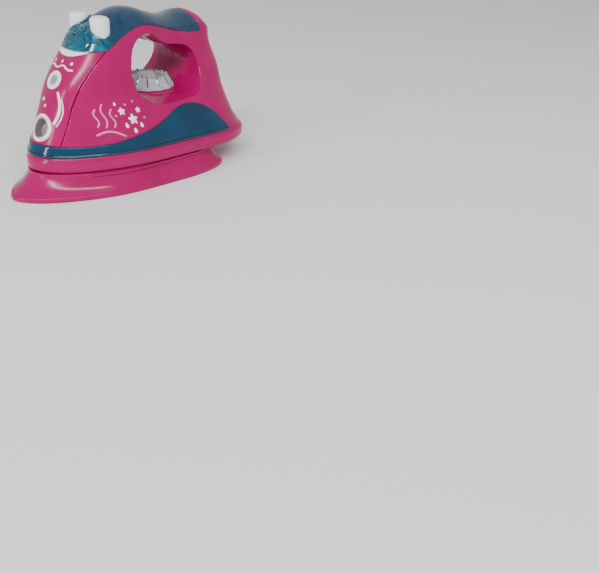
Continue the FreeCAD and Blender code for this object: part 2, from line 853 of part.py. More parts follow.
def button_spring(side):
    low = carrier_high + spring_wire
    height = button_bore_top - carrier_high - 2 * spring_wire
    pitch = height / spring_turns
    step = math.pi / 2
    edges = []
    for i in range(4 * spring_turns):
        places = [coil_point(step * (i + share), side, low, pitch) for share in (0, 0.5, 1)]
        edges.append(Part.Arc(places[0], places[1], places[2]).toShape())
    rim = Part.Wire(Part.makeCircle(spring_wire, coil_point(0, side, low, 0), V(0, 1, 0)))
    return Part.Wire(edges).makePipeShell([rim], True, False)


def carrier():
    inside = hull(-2 * (wall + seat_gap))
    plate = box(carrier_front, carrier_back, -length, length, carrier_low, carrier_high).common(inside)
    guide_radius = button_flange_radius + guide_clearance
    guides = [rod.common(inside) for rod in button_posts(guide_radius + guide_wall, carrier_high, guide_top)]
    legs = []
    for x in switch_leg_stations():
        for y in (-switch_leg_offset, switch_leg_offset):
            legs.append(post(x, button_offset + y, wall / 2, switch_board_top(), carrier_low))
    plate = plate.fuse(guides + legs)
    plate = plate.cut(button_posts(guide_radius, carrier_high, length))
    plate = plate.cut(button_posts(rod_radius + guide_clearance, 0, length))
    return plate.cut(post(filler_station, 0, filler_radius + guide_clearance, 0, length))


def carrier_ledges(inside):
    room = box(carrier_front, carrier_back, -length, length, carrier_low - wall, carrier_low)
    room = room.cut(button_posts(pump_flange_radius + seat_gap, 0, length))
    return inside.cut(hull(-3 * wall)).common(room)


def switch_leg_stations():
    reach = switch_size / 2 + wall
    return (button_station - reach, button_station + reach)


def switch_board_top():
    return switch_top - switch_plunger / 2 - switch_height


def switch_board():
    return box(button_station - switch_board_reach, button_station + switch_board_reach,
               button_offset - switch_board_half, button_offset + switch_board_half,
               switch_board_top() - board_thickness, switch_board_top())


def tact_switch():
    half = switch_size / 2
    body = box(button_station - half, button_station + half, button_offset - half, button_offset + half,
               switch_board_top(), switch_board_top() + switch_height)
    return body.fuse(post(button_station, button_offset, switch_plunger, switch_board_top(), switch_top))


def pump_cylinder():
    side = -button_offset
    shell = post(button_station, side, pump_radius, pump_low, carrier_low)
    shell = shell.fuse(post(button_station, side, pump_flange_radius, carrier_low - pump_flange, carrier_low))
    shell = shell.fuse(post(button_station, side, nipple_radius, pump_low - nipple_length, pump_low))
    outlet = Part.makeCylinder(nipple_radius, pump_radius + nipple_length,
                               V(at(button_station), side, pump_outlet_height()), V(-1, 0, 0))
    shell = shell.fuse(outlet)
    shell = shell.cut(post(button_station, side, pump_bore, pump_low + pump_flange, carrier_low + wall))
    shell = shell.cut(post(button_station, side, nipple_bore, 0, pump_low + wall))
    start = V(at(button_station), side, pump_outlet_height())
    return shell.cut(Part.makeCylinder(nipple_bore, length, start, V(-1, 0, 0)))


def pump_outlet_height():
    return pump_low + pump_flange + nipple_radius


def tank_zone(margin):
    return box(tank_front + margin, tank_back - margin, -tank_half + margin, tank_half - margin,
               tank_low + margin, tank_high - margin)


def water_tank():
    shell = hull(-tank_inset).common(tank_zone(0))
    room = hull(-tank_inset - tank_wall).common(tank_zone(tank_wall))
    neck_top = plug_place()[0].z - plug_depth - 2 * wall
    neck = post(filler_station, 0, filler_radius, tank_high - tank_wall, neck_top)
    neck_room = post(filler_station, 0, filler_radius - filler_wall,
                     tank_high - 2 * tank_wall, neck_top + wall)
    inlet = post(button_station, -button_offset, tube_radius + fit_clearance, tank_high - 2 * tank_wall,
                 tank_high + tank_wall)
    return shell.fuse(neck).cut(room).cut(neck_room).cut(inlet)


def bent_tube(points, radius):
    pieces = []
    for start, end in zip(points, points[1:]):
        pieces.append(Part.makeCylinder(radius, (end - start).Length, start, end - start))
    pieces += [Part.makeSphere(radius, place) for place in points[1:-1]]
    return pieces[0].fuse(pieces[1:])


def suction_tube():
    top = pump_low - wall / 2
    tube = post(button_station, -button_offset, tube_radius, suction_low, top)
    return tube.cut(post(button_station, -button_offset, nipple_radius + fit_clearance, 0, top + wall))


def spray_tube():
    place, out = front_axis(spray_station, spray_height)
    start = place - out * (spray_tip_length - nipple_length)
    corner = place - out * (spray_tip_length + nipple_length)
    end = V(at(button_station) - pump_radius - wall / 4, -button_offset, pump_outlet_height())
    turn = end - V(2 * nipple_length, 0, 0)
    tube = bent_tube([start, corner, turn, end], tube_radius + tube_wall)
    socket = Part.makeCylinder(tube_radius + fit_clearance, 2 * nipple_length,
                               start + out * nipple_length, out * -1)
    drill = Part.makeCylinder(nipple_radius + fit_clearance, 2 * nipple_length,
                              end + V(wall, 0, 0), V(-1, 0, 0))
    return tube.cut([socket, drill])


def dial_disc(radius, height):
    corners = []
    for i in range(dial_facets + 1):
        turn = 2 * math.pi * i / dial_facets
        corners.append(V(at(dial_station) + radius * math.cos(turn), radius * math.sin(turn), height))
    return Part.makePolygon(corners)


def heat_dial():
    rim_top = dial_foot + dial_rim
    top = dial_foot + dial_height
    foot = Part.Face(dial_disc(dial_radius, dial_foot)).extrude(V(0, 0, dial_rim))
    cone = Part.makeLoft([dial_disc(dial_radius, rim_top), dial_disc(dial_top_radius, top)], True, True)
    cap = post(dial_station, 0, dial_cap_radius, top, top + wall / 2)
    bumps = []
    for i in range(dial_facets):
        turn = 2 * math.pi * i / dial_facets
        reach = dial_top_radius - dial_bump_radius
        place = V(at(dial_station) + reach * math.cos(turn), reach * math.sin(turn), top - wall / 2)
        height = wall / 2 + dial_bump_radius / 2
        bumps.append(Part.makeCone(dial_bump_radius, dial_bump_radius / 2, height, place))
    inner = dial_radius - wall
    rings = [dial_disc(inner, dial_foot - wall), dial_disc(inner, rim_top)]
    hollow = Part.makeLoft(rings + [dial_disc(dial_top_radius - wall, top - wall)], True, True)
    hub = post(dial_station, 0, spindle_radius + wall, dial_foot, top)
    body = foot.fuse([cone, cap] + bumps).cut(hollow).fuse(hub)
    return body.cut(post(dial_station, 0, spindle_radius, 0, top - wall / 2))


def dial_spindle():
    top = dial_foot + dial_height - wall / 2
    rod = post(dial_station, 0, spindle_radius, spindle_low, top)
    groove = post(dial_station, 0, spindle_radius, clip_low(), clip_low() + clip_thickness)
    groove = groove.cut(post(dial_station, 0, spindle_radius - wall / 3, 0, length))
    cam = post(dial_station + spindle_radius, 0, spindle_radius / 2, spindle_low, spindle_low + wall)
    return rod.cut(groove).fuse(cam)


def clip_low():
    return deck_low - seat_gap - clip_thickness


def dial_clip():
    ring = post(dial_station, 0, clip_radius, clip_low(), clip_low() + clip_thickness)
    ring = ring.cut(post(dial_station, 0, spindle_radius - wall / 3, 0, length))
    slot = box(dial_station, dial_station + 2 * clip_radius, -spindle_radius / 2, spindle_radius / 2,
               0, length)
    return ring.cut(slot)


def click_spring():
    half = click_width / 2
    start = dial_station - click_reach
    arm = box(start, start + wall, -half, half, spindle_low, deck_low)
    leaf = box(start, dial_station - spindle_radius - 2 * wall / 3, -half, half,
               spindle_low, spindle_low + wall / 3)
    return arm.fuse(leaf)


def speaker():
    floor = tray_levels[0][0] + tray_floor
    frame = post(speaker_station, 0, speaker_radius, floor, floor + speaker_flange)
    bowl = post(speaker_station, 0, speaker_radius - ring_width, floor - wall, floor + speaker_flange / 2)
    magnet = post(speaker_station, 0, magnet_radius,
                  floor + speaker_flange, floor + speaker_flange + magnet_height)
    return frame.cut(bowl).fuse(magnet)


def speaker_spots():
    reach = speaker_radius + board_post_radius + seat_gap
    return [(speaker_station, sign * reach) for sign in (-1, 1)]


def speaker_posts():
    floor = tray_levels[0][0]
    return [post(x, y, board_post_radius, floor + tray_floor / 2, floor + tray_floor + speaker_flange)
            for x, y in speaker_spots()]


def speaker_ring():
    low = tray_levels[0][0] + tray_floor + speaker_flange
    ring = post(speaker_station, 0, speaker_radius, low, low + ring_width / 2)
    ears = box(speaker_station - board_post_radius, speaker_station + board_post_radius,
               -speaker_radius - 2 * board_post_radius, speaker_radius + 2 * board_post_radius,
               low, low + ring_width / 2)
    ring = ring.fuse(ears)
    return ring.cut(post(speaker_station, 0, magnet_radius + ring_width / 2, 0, length))


def screw(head_place, direction, shank_length):
    head = Part.makeCylinder(screw_head_radius, screw_head_height, head_place, direction)
    shank = Part.makeCylinder(screw_radius, shank_length, head_place, direction)
    shank_end = head_place + direction * shank_length
    tip = Part.makeCone(screw_radius, screw_radius / 4, 2 * screw_radius, shank_end, direction)
    body = head.fuse(shank).fuse(tip)
    side = V(1, 0, 0)
    other = direction.cross(side)
    reach = screw_head_radius * cross_share
    for long_way, short_way in ((side, other), (other, side)):
        corner = head_place - long_way * reach - short_way * (cross_width / 2)
        run = long_way * (2 * reach)
        width = short_way * cross_width
        bar = Part.makePolygon([corner, corner + run, corner + run + width, corner + width, corner])
        body = body.cut(Part.Face(bar).extrude(direction * cross_depth))
    return body


def half_seat(station, height):
    row = casing_row(height)
    share = (station - row[0]) / (row[1] - row[0])
    rear_share = 1 - row[7] / (row[1] - row[0])
    widths = ((fore_share, row[3]), (mid_share, row[4]), (aft_share, row[5]), (rear_share, row[6]))
    return value_on(widths, share) - boss_radius


def half_screws():
    group = []
    for station, height in half_screw_spots:
        place = V(at(station), half_seat(station, height), height)
        group.append(screw(place, V(0, -1, 0), half_seat(station, height) + half_boss_inner))
    return Part.makeCompound(group)


def sole_screws():
    group = []
    for station, side in sole_screw_spots:
        for sign in (-1, 1):
            place = V(at(station), sign * side, screw_head_sink)
            group.append(screw(place, V(0, 0, 1), sole_screw_length))
    return Part.makeCompound(group)


def circuit_board():
    return box(board_front, board_back, -board_half, board_half, board_low, board_low + board_thickness)


def board_chip():
    middle = (board_front + board_back) / 2
    top = board_low + board_thickness
    blob = Part.makeSphere(chip_dome_radius, V(at(middle), 0, top + chip_height - chip_dome_radius))
    return blob.common(post(middle, 0, chip_radius, top, top + chip_height))


def body_details():
    body, fascia, cover, trim, band = casing_parts()
    left, right = halves(body)
    collar = button_radius + button_clearance + collar_wall + fit_clearance
    fascia = fascia.cut(fascia_holes() + button_posts(collar, collar_foot, length))
    return left, right, fascia, cover_details(cover), trim, band


def assembly():
    left, right, fascia, cover, trim, band = body_details()
    return {
        "left_body_half": left,
        "right_body_half": right,
        "front_fascia": fascia,
        "top_cover": cover,
        "nose_trim": trim,
        "side_band": band,
        "base_tray": base_tray(),
        "skirt": skirt(),
        "sole_plate": sole_plate(),
        "battery_door": battery_door(),
        "battery_box": battery_box(),
        "battery_cells": cells(),
        "battery_contacts": cell_contacts(),
        "lamp_bezel": ring_fitting(lamp_station, lamp_height, lamp_hole_radius, lamp_ring_radius),
        "lamp_reflector": lamp_reflector(),
        "lamp_lens": lamp_lens(),
        "lamp_led": lamp_led(),
        "spray_bezel": ring_fitting(spray_station, spray_height, spray_hole_radius, spray_ring_radius),
        "spray_nozzle": spray_nozzle(),
        "spray_button": spray_button(),
        "sound_button": sound_button(),
        "spray_spring": button_spring(-button_offset),
        "sound_spring": button_spring(button_offset),
        "button_carrier": carrier(),
        "pump_cylinder": pump_cylinder(),
        "pump_piston": pump_piston(),
        "water_tank": water_tank(),
        "filler_plug": filler_plug(),
        "suction_tube": suction_tube(),
        "spray_tube": spray_tube(),
        "switch_board": switch_board(),
        "tact_switch": tact_switch(),
        "heat_dial": heat_dial(),
        "dial_spindle": dial_spindle(),
        "dial_clip": dial_clip(),
        "click_spring": click_spring(),
        "circuit_board": circuit_board(),
        "board_chip": board_chip(),
        "speaker": speaker(),
        "speaker_ring": speaker_ring(),
        "half_screws": half_screws(),
        "sole_screws": sole_screws(),
    }


def save(name, shape):
    bounds = shape.BoundBox
    sizes = (bounds.XLength, bounds.YLength, bounds.ZLength)
    print(name, len(shape.Solids), "solids", shape.isValid(), "size", [round(v, 2) for v in sizes])
    shape.exportStep(os.path.join("parts", name + ".step"))


os.makedirs("parts", exist_ok=True)
for part_name, part_shape in assembly().items():
    save(part_name, part_shape)
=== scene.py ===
import math

import bmesh
import bpy
import numpy as np
from mathutils import Matrix, Vector
from mathutils.bvhtree import BVHTree
from mathutils.kdtree import KDTree


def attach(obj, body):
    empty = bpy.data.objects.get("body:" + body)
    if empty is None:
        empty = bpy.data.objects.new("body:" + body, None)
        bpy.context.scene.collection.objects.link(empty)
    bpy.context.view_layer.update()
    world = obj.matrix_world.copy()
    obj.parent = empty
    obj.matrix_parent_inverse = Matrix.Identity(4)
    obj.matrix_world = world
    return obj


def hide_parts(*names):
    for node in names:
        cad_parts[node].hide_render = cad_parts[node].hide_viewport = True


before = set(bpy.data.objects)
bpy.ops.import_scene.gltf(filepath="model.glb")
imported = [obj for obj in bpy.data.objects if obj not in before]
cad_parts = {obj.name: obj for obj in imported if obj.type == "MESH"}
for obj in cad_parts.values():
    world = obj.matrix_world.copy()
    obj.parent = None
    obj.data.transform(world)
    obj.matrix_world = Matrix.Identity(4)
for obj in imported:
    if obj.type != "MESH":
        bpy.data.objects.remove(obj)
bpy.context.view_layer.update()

# A toy steam iron: a hollow magenta casing with a see-through blue cover, standing on
# a flared skirt. Sizes are in millimetres in the part's own frame. Stations run from
# the skirt's tip to the rear, heights from the sole, and MM turns both to metres.
MM = 0.001
LENGTH = 210.0
WALL = 2.2
CASING_FOOT = 29.4

# The casing's outlines from the tray up: height, nose and heel stations, nose
# radius, four half widths, and the radius of the heel's corners.
CASING_LEVELS = (
    (26.0, 19.5, 208.0, 22.0, 34.5, 46.5, 51.5, 54.0, 42.0),
    (34.0, 22.5, 202.0, 22.0, 33.5, 45.0, 50.0, 52.0, 40.0),
    (42.0, 26.5, 197.5, 23.0, 32.0, 43.0, 47.5, 48.5, 37.0),
    (52.0, 31.5, 194.5, 24.0, 29.5, 38.5, 42.5, 42.5, 32.0),
    (62.0, 36.5, 193.0, 25.0, 27.0, 34.0, 36.5, 36.0, 27.0),
    (74.0, 42.5, 192.5, 26.0, 25.5, 28.5, 29.5, 28.5, 20.0),
    (86.0, 51.0, 189.5, 26.0, 24.0, 25.0, 24.5, 23.5, 17.0),
    (98.0, 61.0, 186.6, 26.0, 21.5, 23.5, 22.0, 21.0, 15.0),
    (110.0, 70.0, 181.8, 25.0, 19.5, 22.0, 21.0, 20.0, 14.0),
    (126.0, 79.5, 173.0, 22.0, 16.0, 19.5, 19.0, 18.0, 13.0),
)
OUTLINE_SHARES = (0.17, 0.37, 0.60)
NOSE_TURN = math.radians(40)

# The top of cover and casing over the middle, as stations and heights, and how far it
# drops by ARCH_WIDTH to the side.
CROWN_LINE = (
    (8.0, 84.0), (24.0, 86.0), (40.0, 88.5), (50.0, 94.0), (58.0, 101.0), (66.0, 108.6),
    (73.0, 111.8), (80.0, 114.5), (90.0, 118.5), (100.0, 121.8), (109.0, 123.0), (118.0, 121.8),
    (130.0, 117.6), (142.0, 114.6), (153.0, 114.6), (163.0, 116.9), (170.0, 116.7), (176.0, 115.0),
    (181.0, 110.3), (187.0, 101.5), (196.0, 91.0), (216.0, 86.0),
)
ARCH_DROPS = ((82.0, 17.0), (108.0, 10.3), (150.0, 10.0), (165.0, 12.0))
ARCH_SIDES = (6.0, 12.0, 18.0, 24.0, 31.0, 40.0, 60.0)
ARCH_WIDTH = 24.0
ARCH_POWER = 2.3

# The hand opening's edge on the casing's side. It is straight through the middle,
# and flares out towards both mouths.
HAND_LINE = (
    (94.1, 80.5), (95.7, 88.4), (98.8, 97.0), (105.2, 103.4), (112.6, 106.0), (118.1, 105.3),
    (123.0, 102.4), (128.8, 98.4), (132.6, 97.0), (139.6, 96.0), (146.9, 95.0), (154.3, 92.0),
    (159.2, 84.8), (159.1, 76.5), (155.4, 68.5), (149.9, 62.9), (139.6, 60.3), (131.2, 59.8),
    (119.1, 59.4), (107.6, 60.3), (101.5, 62.1), (96.2, 66.6), (94.6, 72.1),
)
HAND_INSET = 1.6
HAND_FLARE = 3.4
HAND_THROAT_HALF = 15.0
HAND_MOUTH_HALF = 46.0
HAND_SIDES = (5.0, 14.99, 15.01, 22.0, 30.0, 38.0, HAND_MOUTH_HALF)

# The seam between front panel and casing halves, and the slope of the panel.
FASCIA_LINE = (
    (28.0, 25.0), (32.4, 36.9), (36.4, 44.6), (40.8, 52.8), (45.6, 62.9), (49.9, 70.7),
    (56.2, 79.0), (63.0, 86.1), (71.0, 92.8), (77.0, 97.2), (86.0, 104.4),
)
FRONT_SLOPE = math.radians(60)

# How finely the meshes follow their curves.
ROUND_STEPS = 420
LINE_STEPS = 300
PROBE_STEPS = 400
GUIDE_ROWS = 160
CROWN_ROWS, CROWN_COLUMNS = 320, 90
ROUND_SHARES = np.arange(ROUND_STEPS) / ROUND_STEPS
ON_AXIS = 1e-4


def at(station):
    return station - LENGTH / 2


def mirrored(sides, *middle):
    return [-side for side in reversed(sides)] + [*middle, *sides]


# The casing's outlines are smooth curves through their points, closed or open.
def cubic_runs(values, second, knots, low, high, place):
    """Each place's point between two knots, from their values and second slopes."""
    run = (knots[low + 1] - knots[low])[:, None]
    left = (knots[low + 1] - place)[:, None]
    right = (place - knots[low])[:, None]
    return (second[low] * left ** 3 / (6 * run) + second[high] * right ** 3 / (6 * run)
            + (values[low] / run - second[low] * run / 6) * left
            + (values[high] / run - second[high] * run / 6) * right)


def closed_spline(points, shares):
    """Points at shares of the way round the smooth curve through a ring of points."""
    points = np.array(points, float)
    count = len(points)
    following = np.roll(points, -1, axis=0)
    runs = np.linalg.norm(following - points, axis=1)
    matrix = np.zeros((count, count))
    bends = np.zeros_like(points)
    for i in range(count):
        before, after = runs[i - 1], runs[i]
        matrix[i, i - 1] += before
        matrix[i, i] += 2 * (before + after)
        matrix[i, (i + 1) % count] += after
        bends[i] = 6 * ((following[i] - points[i]) / after - (points[i] - points[i - 1]) / before)
    second = np.linalg.solve(matrix, bends)
    knots = np.concatenate([[0.0], np.cumsum(runs)])
    place = np.mod(shares, 1.0) * knots[-1]
    low = np.clip(np.searchsorted(knots, place, "right") - 1, 0, count - 1)
    return cubic_runs(points, second, knots, low, (low + 1) % count, place)


def open_weights(knots, places):
    """How much each knot of an open smooth curve counts at each place."""
    knots = np.array(knots, float)
    places = np.clip(np.array(places, float), knots[0], knots[-1])
    count = len(knots)
    runs = np.diff(knots)
    matrix = np.eye(count)
    source = np.zeros((count, count))
    for i in range(1, count - 1):
        before, after = runs[i - 1], runs[i]
        matrix[i, i - 1:i + 2] = (before, 2 * (before + after), after)
        source[i, i - 1:i + 2] = (6 / before, -6 / before - 6 / after, 6 / after)
    second = np.linalg.solve(matrix, source)
    low = np.clip(np.searchsorted(knots, places, "right") - 1, 0, count - 2)
    return cubic_runs(np.eye(count), second, knots, low, low + 1, places)


def spline_line(line, count):
    """Evenly spaced points of the smooth curve through a line's points."""
    points = np.array(line, float)
    knots = np.concatenate([[0.0], np.cumsum(np.linalg.norm(np.diff(points, axis=0), axis=1))])
    return open_weights(knots, np.linspace(0, knots[-1], count)) @ points


def outline_points(row, outward):
    """The points of one level's outline, moved outward: a round nose, four widths, a heel."""
    nose, heel, nose_radius, fore, middle, aft, rear, corner = row
    span = heel - nose
    radius = nose_radius + outward
    front = nose - outward
    back = heel + outward
    edge = corner + outward
    bend = edge * (1 - math.cos(math.pi / 4))
    half = [(front + radius * (1 - math.cos(NOSE_TURN)), radius * math.sin(NOSE_TURN))]
    for share, width in zip(OUTLINE_SHARES, (fore, middle, aft)):
        half.append((nose + span * share, width + outward))
    half.append((back - edge, rear + outward))
    half.append((back - bend, rear + outward - bend))
    half.append((back, rear + outward - edge))
    return [(front, 0.0)] + [(x, -y) for x, y in half] + [(x, y) for x, y in reversed(half)]


def ring(row, outward, shares=ROUND_SHARES):
    """The smooth outline through a level's points, as points in the part's frame."""
    points = closed_spline(outline_points(row, outward), shares)
    points[:, 0] -= LENGTH / 2
    return points


def level_ring(row, outward, height, shares=ROUND_SHARES):
    points = ring(row, outward, shares)
    return np.column_stack([points, np.full(len(points), float(height))])


def round_turns(count):
    return 2 * np.pi * np.arange(count) / count


def casing_row(height):
    """The casing's outline row at a height between its levels."""
    rows = np.array(CASING_LEVELS)
    return tuple(np.interp(height, rows[:, 0], rows[:, i]) for i in range(1, rows.shape[1]))


def level_rings(outward, heights, shares):
    """Every level's ring, and the weights that blend them at each height."""
    rings = np.array([ring(row[1:], outward, shares) for row in CASING_LEVELS])
    return rings, open_weights([row[0] for row in CASING_LEVELS], heights)


def hull_grid(outward, heights, shares):
    """The casing's side wall as a grid of heights by shares round it."""
    rings, weights = level_rings(outward, heights, shares)
    grid = np.einsum("hr,rsc->hsc", weights, rings)
    level = np.broadcast_to(np.array(heights, float)[:, None, None], grid.shape[:2] + (1,))
    return np.concatenate([grid, level], axis=2)


def hull_points(shares, heights, outward):
    """The casing's side wall at pairs of a share and a height."""
    rings, weights = level_rings(outward, heights, shares)
    flat = np.einsum("nr,rnc->nc", weights, rings)
    return np.column_stack([flat, heights])


def near_side(height, outward):
    """Shares and points of the side wall at one height, from the nose to the heel."""
    shares = np.linspace(0, 0.5, PROBE_STEPS)
    points = hull_points(shares, np.full(PROBE_STEPS, float(height)), outward)
    reach = int(np.argmax(points[:, 0])) + 1
    return shares[:reach], points[:reach]


def clamped_basis(count, places):
    """The weights of a cubic curve's poles, with both ends clamped."""
    degree = 3
    inner = count - degree - 1
    knots = np.array([0.0] * degree + list(range(inner + 2)) + [inner + 1.0] * degree)
    places = np.clip(places, 0, inner + 1 - 1e-9)
    basis = [((places >= knots[i]) & (places < knots[i + 1])).astype(float) for i in range(len(knots) - 1)]
    for step in range(1, degree + 1):
        following = []
        for i in range(len(knots) - 1 - step):
            term = np.zeros_like(places)
            if knots[i + step] > knots[i]:
                term += (places - knots[i]) / (knots[i + step] - knots[i]) * basis[i]
            if knots[i + step + 1] > knots[i + 1]:
                term += (knots[i + step + 1] - places) / (knots[i + step + 1] - knots[i + 1]) * basis[i + 1]
            following.append(term)
        basis = following
    return np.array(basis).T


def smooth_value(line, place):
    """The value of a line at a place, eased between its points."""
    stations = [point[0] for point in line]
    if place <= stations[0]:
        return line[0][1]
    if place >= stations[-1]:
        return line[-1][1]
    i = int(np.searchsorted(stations, place)) - 1
    share = (place - stations[i]) / (stations[i + 1] - stations[i])
    smooth = share * share * (3 - 2 * share)
    return line[i][1] + (line[i + 1][1] - line[i][1]) * smooth


def crown_grid(along_count, across_count):
    """The arched top of cover and casing as a grid."""
    sides = mirrored(ARCH_SIDES, 0.0)
    poles = []
    for station, top in CROWN_LINE:
        drop = smooth_value(ARCH_DROPS, station)
        poles.append([(at(station), y, top - drop * (abs(y) / ARCH_WIDTH) ** ARCH_POWER) for y in sides])
    poles = np.array(poles)
    along = clamped_basis(len(CROWN_LINE), np.linspace(0, len(CROWN_LINE) - 3, along_count))
    across = clamped_basis(len(sides), np.linspace(0, len(sides) - 3, across_count))
    return np.einsum("ap,bq,pqc->abc", along, across, poles)


def offset_line(line, outward):
    """A closed line moved outward, square to the chord of its neighbours."""
    moved = []
    for i, (x, z) in enumerate(line):
        x0, z0 = line[i - 1]
        x1, z1 = line[(i + 1) % len(line)]
        run = math.hypot(x1 - x0, z1 - z0)
        moved.append((x - (z1 - z0) / run * outward, z + (x1 - x0) / run * outward))
    return moved


def hand_grid(count):
    """The hand opening's wall, from mouth to mouth."""
    shares = np.arange(count) / count
    throat = closed_spline(offset_line(HAND_LINE, -HAND_INSET), shares)
    mouth = closed_spline(offset_line(HAND_LINE, HAND_FLARE), shares)
    rings = []
    for side in mirrored(HAND_SIDES):
        share = max(abs(side) - HAND_THROAT_HALF, 0) / (HAND_MOUTH_HALF - HAND_THROAT_HALF)
        points = throat + (mouth - throat) * share
        rings.append(np.column_stack([points[:, 0] - LENGTH / 2, np.full(count, side), points[:, 1]]))
    return np.array(rings)


# Guides hold dense points of the true smooth surfaces with their normals. The moulded
# shells take these normals over within GUIDE_REACH of a surface, wholly where they turn
# from it by up to FOLLOWING_TURN degrees, and not at all from OWN_TURN on.
GUIDE_REACH = 0.6
FOLLOWING_TURN = 12.0
OWN_TURN = 26.0
NEAREST_COUNT = 4
NEAREST_SOFTNESS = 0.02


def grid_normals(grid, closed):
    down = np.gradient(grid, axis=0)
    if closed:
        along = np.roll(grid, -1, axis=1) - np.roll(grid, 1, axis=1)
    else:
        along = np.gradient(grid, axis=1)
    normals = np.cross(along, down)
    return normals / np.maximum(np.linalg.norm(normals, axis=2, keepdims=True), 1e-12)


class Guide:
    def __init__(self, grid, closed):
        self.points = grid.reshape(-1, 3)
        self.normals = grid_normals(grid, closed).reshape(-1, 3)
        middle = self.points.mean(axis=0)
        if np.einsum("ij,ij->i", self.points - middle, self.normals).mean() < 0:
            self.normals = -self.normals
        self.tree = KDTree(len(self.points))
        for i, point in enumerate(self.points):
            self.tree.insert(point, i)
        self.tree.balance()

    def near(self, point):
        """The surface's normal near a point, and the point's height over the surface."""
        total = Vector((0, 0, 0))
        nearest = None
        for place, index, distance in self.tree.find_n(point, NEAREST_COUNT):
            normal = Vector(self.normals[index])
            if nearest is None:
                nearest = (point - place).dot(normal)
            total += normal / (distance + NEAREST_SOFTNESS)
        return total.normalized(), nearest


HULL_HEIGHTS = np.linspace(CASING_LEVELS[0][0], CASING_LEVELS[-1][0], GUIDE_ROWS)
HULL = Guide(hull_grid(0.0, HULL_HEIGHTS, ROUND_SHARES), True)
CROWN = Guide(crown_grid(CROWN_ROWS, CROWN_COLUMNS), False)
HAND = Guide(hand_grid(LINE_STEPS), True)


def guided_normals(mesh, guides):
    """Gives a mesh the normals of the guides that it lies on."""
    count = len(mesh.vertices)
    normals = np.zeros(count * 3)
    mesh.vertex_normals.foreach_get("vector", normals)
    normals = normals.reshape(-1, 3)
    for i, vertex in enumerate(mesh.vertices):
        point = vertex.co / MM
        own = Vector(normals[i])
        best = None
        for guide in guides:
            normal, distance = guide.near(point)
            if abs(distance) > GUIDE_REACH:
                continue
            agreement = own.dot(normal)
            if agreement < 0:
                normal = -normal
                agreement = -agreement
            if best is None or agreement > best[0]:
                best = (agreement, normal)
        if best is None:
            continue
        turn = math.degrees(math.acos(min(best[0], 1.0)))
        weight = min(max((OWN_TURN - turn) / (OWN_TURN - FOLLOWING_TURN), 0.0), 1.0)
        normals[i] = own.lerp(best[1], weight).normalized()
    mesh.normals_split_custom_set_from_vertices([tuple(normal) for normal in normals])


# Making and finishing meshes.
SOFTEN_SHARE = 0.5
SOFTEN_ROUNDS = 3
SOLID_DOUBLES = 1e-6
PIECE_DOUBLES = 1e-7
SHARP_TURN = 38.0


def add_object(name, data):
    piece = bpy.data.objects.new(name, data)
    bpy.context.scene.collection.objects.link(piece)
    return piece


def settled(piece):
    """Turns a piece with modifiers into a plain mesh."""
    depsgraph = bpy.context.evaluated_depsgraph_get()
    mesh = bpy.data.meshes.new_from_object(piece.evaluated_get(depsgraph))
    piece.modifiers.clear()
    old = piece.data
    piece.data = mesh
    bpy.data.meshes.remove(old)
    return piece


def moulded_copy(node, name, voxel, guides):
    """A copy of a node's solid with the soft edges of a moulding and smooth faces."""
    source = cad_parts[node].data.copy()
    shape = bmesh.new()
    shape.from_mesh(source)
    bmesh.ops.remove_doubles(shape, verts=shape.verts, dist=SOLID_DOUBLES)
    shape.to_mesh(source)
    shape.free()
    source.materials.clear()
    piece = add_object(name, source)
    remesh = piece.modifiers.new("mould", "REMESH")
    remesh.mode = "VOXEL"
    remesh.voxel_size = voxel * MM
    soften = piece.modifiers.new("soften", "SMOOTH")
    soften.factor = SOFTEN_SHARE
    soften.iterations = SOFTEN_ROUNDS
    settled(piece)
    piece.data.polygons.foreach_set("use_smooth", [True] * len(piece.data.polygons))
    guided_normals(piece.data, guides)
    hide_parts(node)
    return piece


def finished(piece, sharp_turn):
    """Merges doubles, turns the faces outwards and keeps edges sharper than the turn crisp."""
    shape = bmesh.new()
    shape.from_mesh(piece.data)
    bmesh.ops.remove_doubles(shape, verts=shape.verts, dist=PIECE_DOUBLES)
    bmesh.ops.recalc_face_normals(shape, faces=shape.faces)
    for face in shape.faces:
        face.smooth = True
    for edge in shape.edges:
        edge.smooth = not (edge.is_manifold and edge.calc_face_angle(0.0) > math.radians(sharp_turn))
    shape.to_mesh(piece.data)
    shape.free()
    return piece


def grid_faces(rows, columns, closed_rows=False, capped=False, base=0):
    """Faces over a grid of points whose rows are closed rings."""
    faces = []
    for r in range(rows if closed_rows else rows - 1):
        below = (r + 1) % rows
        for c in range(columns):
            following = (c + 1) % columns
            faces.append((base + r * columns + c, base + r * columns + following,
                          base + below * columns + following, base + below * columns + c))
    if capped:
        faces.append(tuple(base + c for c in reversed(range(columns))))
        faces.append(tuple(base + (rows - 1) * columns + c for c in range(columns)))
    return faces


def mesh_piece(name, points, faces, sharp_turn=SHARP_TURN):
    mesh = bpy.data.meshes.new(name)
    mesh.from_pydata([tuple(point) for point in points], [], faces)
    return finished(add_object(name, mesh), sharp_turn)


def grid_piece(name, grid, closed_rows=False, capped=False):
    """A smooth piece over a grid of points in millimetres whose rows are closed rings."""
    return mesh_piece(name, grid.reshape(-1, 3) * MM, grid_faces(*grid.shape[:2], closed_rows, capped))


def lathe(name, profile, place, segments=72):
    """A round piece from radii and heights about an upright axis."""
    turns = round_turns(segments)
    rows = [np.column_stack([radius * np.cos(turns), radius * np.sin(turns), np.full(segments, height)])
            for radius, height in profile]
    return grid_piece(name, np.array(rows) + place)


